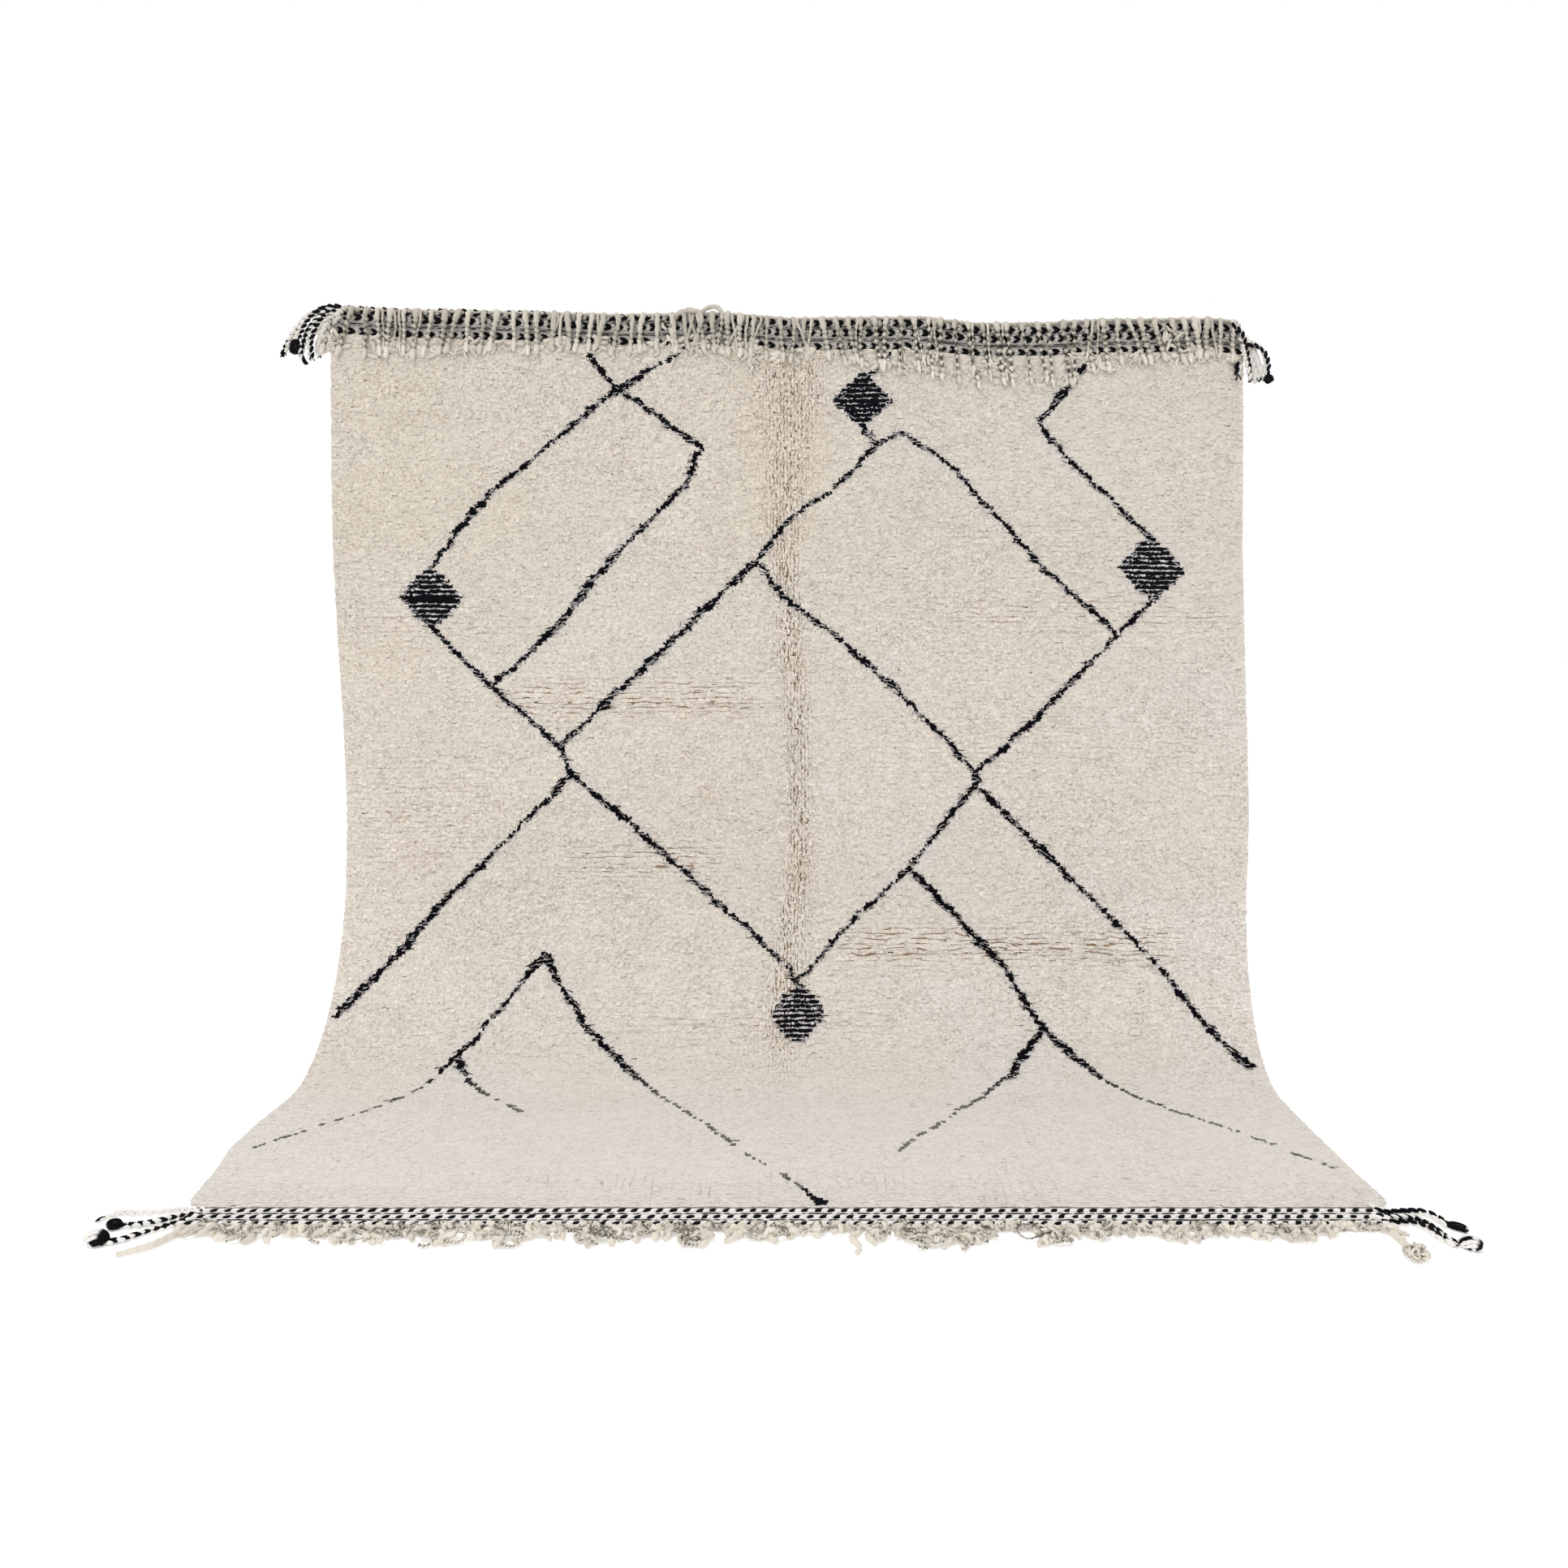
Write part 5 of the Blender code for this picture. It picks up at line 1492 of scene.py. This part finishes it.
floorTails = {
    "tailFloorLeft": (
        (whitePair, noKnob, (
            (-0.022, 0.006, 0.006), (0.028, 0.003, 0.0), (0.057, 0.009, 0.0), (0.089, 0.013, 0.0),
            (0.112, 0.012, 0.0), (0.124, 0.020, 0.0), (0.138, 0.030, 0.0))),
        (blackBetween, (0.0080, 0.019, "black"), (
            (-0.012, 0.018, 0.006), (0.021, 0.026, 0.0), (0.041, 0.037, 0.0), (0.069, 0.045, 0.0),
            (0.092, 0.050, 0.0), (0.110, 0.054, 0.0))),
        (blackBetween, (0.0118, 0.028, "half"), (
            (-0.010, 0.034, 0.006), (0.006, 0.042, 0.0), (0.027, 0.056, 0.0), (0.049, 0.072, 0.0),
            (0.076, 0.090, 0.0), (0.116, 0.096, 0.0)))),
    "tailFloorRight": (
        (mixedPair, (0.0060, 0.030, "black"), (
            (-0.014, 0.006, 0.008), (0.005, 0.008, 0.0), (0.037, 0.010, 0.0), (0.064, 0.012, 0.0),
            (0.076, 0.026, 0.0), (0.084, 0.046, 0.0), (0.106, 0.064, 0.0))),
        (blackBetween, (0.0104, 0.026, "tipped"), (
            (-0.020, 0.024, 0.006), (0.008, 0.024, 0.0), (0.038, 0.028, 0.0), (0.052, 0.044, 0.0),
            (0.058, 0.068, 0.0), (0.066, 0.094, 0.0), (0.094, 0.112, 0.0))),
        (mixedPair, noKnob, (
            (-0.020, 0.036, 0.006), (0.002, 0.038, 0.0), (0.030, 0.042, 0.0), (0.044, 0.058, 0.0),
            (0.050, 0.080, 0.0), (0.062, 0.100, 0.0)))),
}


def evenPath(points, step):
    # even steps along the smooth curve through some points
    fine = smoothPath([points], 24 * len(points))
    length = pathLength(fine)[0]
    places = np.linspace(0.0, length[-1], max(int(round(length[-1] / step)), 3) + 1)
    return np.stack([np.interp(places, length, fine[0, :, axis]) for axis in range(3)], axis=-1), places


def wrappedKnob(path, places, knob, onFloor, chance):
    # the cord's end is doubled back and bound: white and black turns of yarn around a black core
    knobHalf, knobLength, knobLook = knob
    steps = 8
    rings = np.linspace(places[-1] - knobLength, places[-1], steps + 1)
    centres = np.stack([np.interp(rings, places, path[:, axis]) for axis in range(3)], axis=-1)
    share = np.linspace(0.0, 1.0, steps + 1)
    half = knobHalf * np.sqrt(np.clip(1.0 - np.abs(2.0 * share - 1.06) ** 3.2, 0.12, 1.0))
    if onFloor:
        centres[:, 2] = np.maximum(half + 0.0004, centres[:, 2])
    outwards = upwards if onFloor else outOfWall
    core = yarnBar(10, steps)
    points = bendYarn(core, centres[None], outwards, 0.86 * half, 0.86 * half)
    parts = [{"shape": core, "points": points, "ink": 0.9}]
    wraps, ticks = 9, 9
    along = np.linspace(0.02, 0.92, ticks + 1)[None, :]
    angle = np.linspace(0.0, 2 * math.pi, wraps, endpoint=False)[:, None] + 1.1 * along
    angle = angle + chance.normal(0.0, 0.05, (wraps, ticks + 1))
    middle = np.stack([np.interp(along[0], share, centres[:, axis]) for axis in range(3)], axis=-1)
    run = unit(np.gradient(middle, axis=0))
    side = unit(np.cross(run, outwards))
    rise = np.cross(side, run)
    reach = 0.84 * np.interp(along[0], share, half)[None, :, None]
    around = side[None] * np.cos(angle)[..., None] + rise[None] * np.sin(angle)[..., None]
    wrapPaths = middle[None] + reach * around
    wrapPaths[..., 2] = np.maximum(wrapPaths[..., 2], 0.0020 if onFloor else -1.0)
    yarn = yarnBar(5, ticks)
    thick = 2.5 * knobHalf / wraps
    points = bendYarn(yarn, wrapPaths, outwards, thick, thick)
    place = yarn["points"][None, :, 2]
    front = np.dot(around[:, ticks // 2], (0.0, -0.5, -0.87))[:, None] > 0.0
    number = np.arange(wraps)[:, None]
    dark = {"black": (place < 0.92) | front, "half": (place < 0.34) | (front & (place < 0.75)),
            "tipped": (place > 0.78) | ((number % 3 == 1) & (place < 0.6))}[knobLook]
    parts.append({"shape": yarn, "points": points, "ink": dark.astype(float)})
    return parts


def frayedEnd(path, run, side, rise, onFloor, chance):
    count = 10
    spread = chance.normal(0.0, 0.25, (count, 2))
    flatness = 0.25 if onFloor else 1.0
    way = unit(run[-1] + side[-1] * spread[:, :1] + rise[-1] * flatness * spread[:, 1:])
    length = chance.uniform(0.006, 0.014, (count, 1, 1))
    start = path[-2] + chance.normal(0.0, 0.0016, (count, 3)) * (1.0, 1.0, 0.4)
    paths = start[:, None] + way[:, None] * length * np.linspace(0.0, 1.0, 4)[None, :, None]
    paths[..., 2] = np.maximum(paths[..., 2], 0.0012)
    shape = yarnBar(3, 3)
    points = bendYarn(shape, paths, (0.0, 0.3, 1.0), 0.0016, 0.0016)
    return {"shape": shape, "points": points, "ink": (chance.random(count) < 0.8).astype(float)[:, None]}


def beadCord(points, yarns, knob, onFloor, chance):
    # white and black yarns side by side along a cord, as chains of slanted beads
    path, places = evenPath(points, tail["bead"] / 2)
    ends = places[-1] - tail["underKnob"] * knob[1]
    run = unit(np.gradient(path, axis=0))
    outwards = upwards if onFloor else outOfWall
    side = unit(np.cross(run, outwards))
    rise = np.cross(side, run)
    bead = stitchShape()
    parts = []
    phase = chance.uniform(-0.6, 0.6)
    tilt = math.radians(tail["tilt"])
    for number, (ink, aside, wide) in enumerate(yarns):
        pick = np.arange(number % 2, len(places), 2)
        pick = pick[places[pick] < ends]
        turn = phase + 2 * math.pi * places[pick] / tail["turn"]
        away = side[pick] * np.cos(turn)[:, None] + rise[pick] * tail["flat"] * np.sin(turn)[:, None]
        middle = path[pick] + tail["aside"] * aside * away + tail["inkRise"] * ink * rise[pick]
        direction = unit(run[pick] * math.cos(tilt) + side[pick] * math.sin(tilt))
        across = unit(np.cross(direction, rise[pick]))
        up = np.cross(across, direction)
        size = wide * chance.uniform(0.88, 1.12, (len(pick), 1, 1))
        local = bead["points"][None] * size
        verts = (middle[:, None] + direction[:, None] * local[..., 2:] * tail["beadHalf"]
                 + across[:, None] * local[..., :1] * tail["beadWide"]
                 + up[:, None] * local[..., 1:2] * tail["beadWide"])
        if onFloor:
            verts[..., 2] = np.maximum(verts[..., 2], 0.0003)
        # the hanging tails take part of the greyer, painted-shade white
        parts.append({"shape": bead, "points": verts, "ink": ink, "greyAndShade": 0.0 if onFloor else 0.6})
    if knob is noKnob:
        parts.append(frayedEnd(path, run, side, rise, onFloor, chance))
    else:
        parts += wrappedKnob(path, places, knob, onFloor, chance)
    return parts


def makeTail(name, cords, start, onFloor, seed):
    chance = np.random.default_rng(seed)
    side = -1.0 if name.endswith("Left") else 1.0
    parts = []
    for yarns, knob, points in cords:
        route = [drape(side * (rug["halfWidth"] + out), start + down, max(lift, 0.0042))
                 for out, down, lift in points]
        parts += beadCord(route, yarns, knob, onFloor, chance)
    return joinCopies(name, parts, twinedYarn, ("ink", "greyAndShade"))


print("tails")
tails = [makeTail(name, cords, 0.0, False, 41 + number)
         for number, (name, cords) in enumerate(hangingTails.items())]
tails += [makeTail(name, cords, bandStart, True, 43 + number)
          for number, (name, cords) in enumerate(floorTails.items())]

# Every piece is part of the one hung rug
laidOn = pilePieces + [topBand, floorBand, topFringe, floorFringe, strokes] + tails
for piece in [groundCloth] + laidOn:
    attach(piece, "root")
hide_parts("pile_field")
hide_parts("top_band")
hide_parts("floor_band")
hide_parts("top_fringe")
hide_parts("floor_fringe")
tailNodes = ("tail_top_left", "tail_top_right", "tail_floor_left", "tail_floor_right")
for piece, node in zip(tails, tailNodes):
    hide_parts(node)

# Floor, light and camera

studio = {
    "floorSize": 40.0,
    "floorDrop": 0.0006,
    "floorColour": (0.93, 0.93, 0.93, 1.0),
    "floorRoughness": 0.95,
    "floorSpecular": 0.1,
    "floorGlow": 0.30,       # lifts the floor to the white of the backdrop
    "backdrop": 1.0,         # brightness of the world as the camera sees it
    "skylight": 0.78,        # and as it lights the rug
    "keyPower": 450.0,
    "keySize": 5.0,
    "keyPlace": (-2.4, -4.0, 10.0),
    "keyAim": (0.0, 0.0, 0.3),
}
photo = {
    "side": 1932,
    "focal": 1300.0,        # in pixels
    "middleColumn": 968.0,  # where the camera's axis meets the picture
    "middleRow": 790.8,
    "tiltDown": 1.5,
    "distance": 2.347,      # from the plane in which the rug hangs
    "height": 0.992,
    "sensor": 36.0,
}


def makeFloor():
    mesh = bmesh.new()
    bmesh.ops.create_grid(mesh, x_segments=2, y_segments=2, size=studio["floorSize"] / 2)
    bmesh.ops.translate(mesh, verts=mesh.verts[:], vec=(0.0, 0.0, -studio["floorDrop"]))
    data = bpy.data.meshes.new("paleFloor")
    mesh.to_mesh(data)
    mesh.free()
    floor = linkObject("paleFloor", data)
    material, tree, shader = startMaterial("paleFloor")
    shader.inputs["Base Color"].default_value = studio["floorColour"]
    shader.inputs["Roughness"].default_value = studio["floorRoughness"]
    shader.inputs["Specular IOR Level"].default_value = studio["floorSpecular"]
    shader.inputs["Emission Color"].default_value = (1.0, 1.0, 1.0, 1.0)
    shader.inputs["Emission Strength"].default_value = studio["floorGlow"]
    data.materials.append(material)


def makeLights():
    world = bpy.data.worlds.new("studioWorld")
    bpy.context.scene.world = world
    world.use_nodes = True
    tree = world.node_tree
    seen = addNode(tree, "ShaderNodeLightPath").outputs["Is Camera Ray"]
    extra = mathNode(tree, "MULTIPLY", seen, studio["backdrop"] - studio["skylight"])
    strength = mathNode(tree, "ADD", extra, studio["skylight"])
    tree.nodes["Background"].inputs["Color"].default_value = (1.0, 1.0, 1.0, 1.0)
    tree.links.new(strength, tree.nodes["Background"].inputs["Strength"])
    light = bpy.data.lights.new("softKey", "AREA")
    light.energy = studio["keyPower"]
    light.size = studio["keySize"]
    key = linkObject("softKey", light)
    key.location = studio["keyPlace"]
    aim = [aimed - place for aimed, place in zip(studio["keyAim"], studio["keyPlace"])]
    pan = math.atan2(aim[0], aim[1])
    tilt = math.atan2(math.hypot(aim[0], aim[1]), -aim[2])
    key.rotation_euler = (tilt, 0.0, -pan)


def makeCamera():
    data = bpy.data.cameras.new("camera")
    data.sensor_width = photo["sensor"]
    data.lens = photo["focal"] / photo["side"] * photo["sensor"]
    data.shift_x = (photo["side"] / 2 - photo["middleColumn"]) / photo["side"]
    data.shift_y = (photo["middleRow"] - photo["side"] / 2) / photo["side"]
    camera = linkObject("camera", data)
    camera.location = (rug["middleX"], rug["hangY"] - photo["distance"], photo["height"])
    camera.rotation_euler = (math.radians(90.0 - photo["tiltDown"]), 0.0, 0.0)
    bpy.context.scene.camera = camera


print("studio")
makeFloor()
makeLights()
makeCamera()
bpy.context.scene.view_settings.view_transform = "Standard"
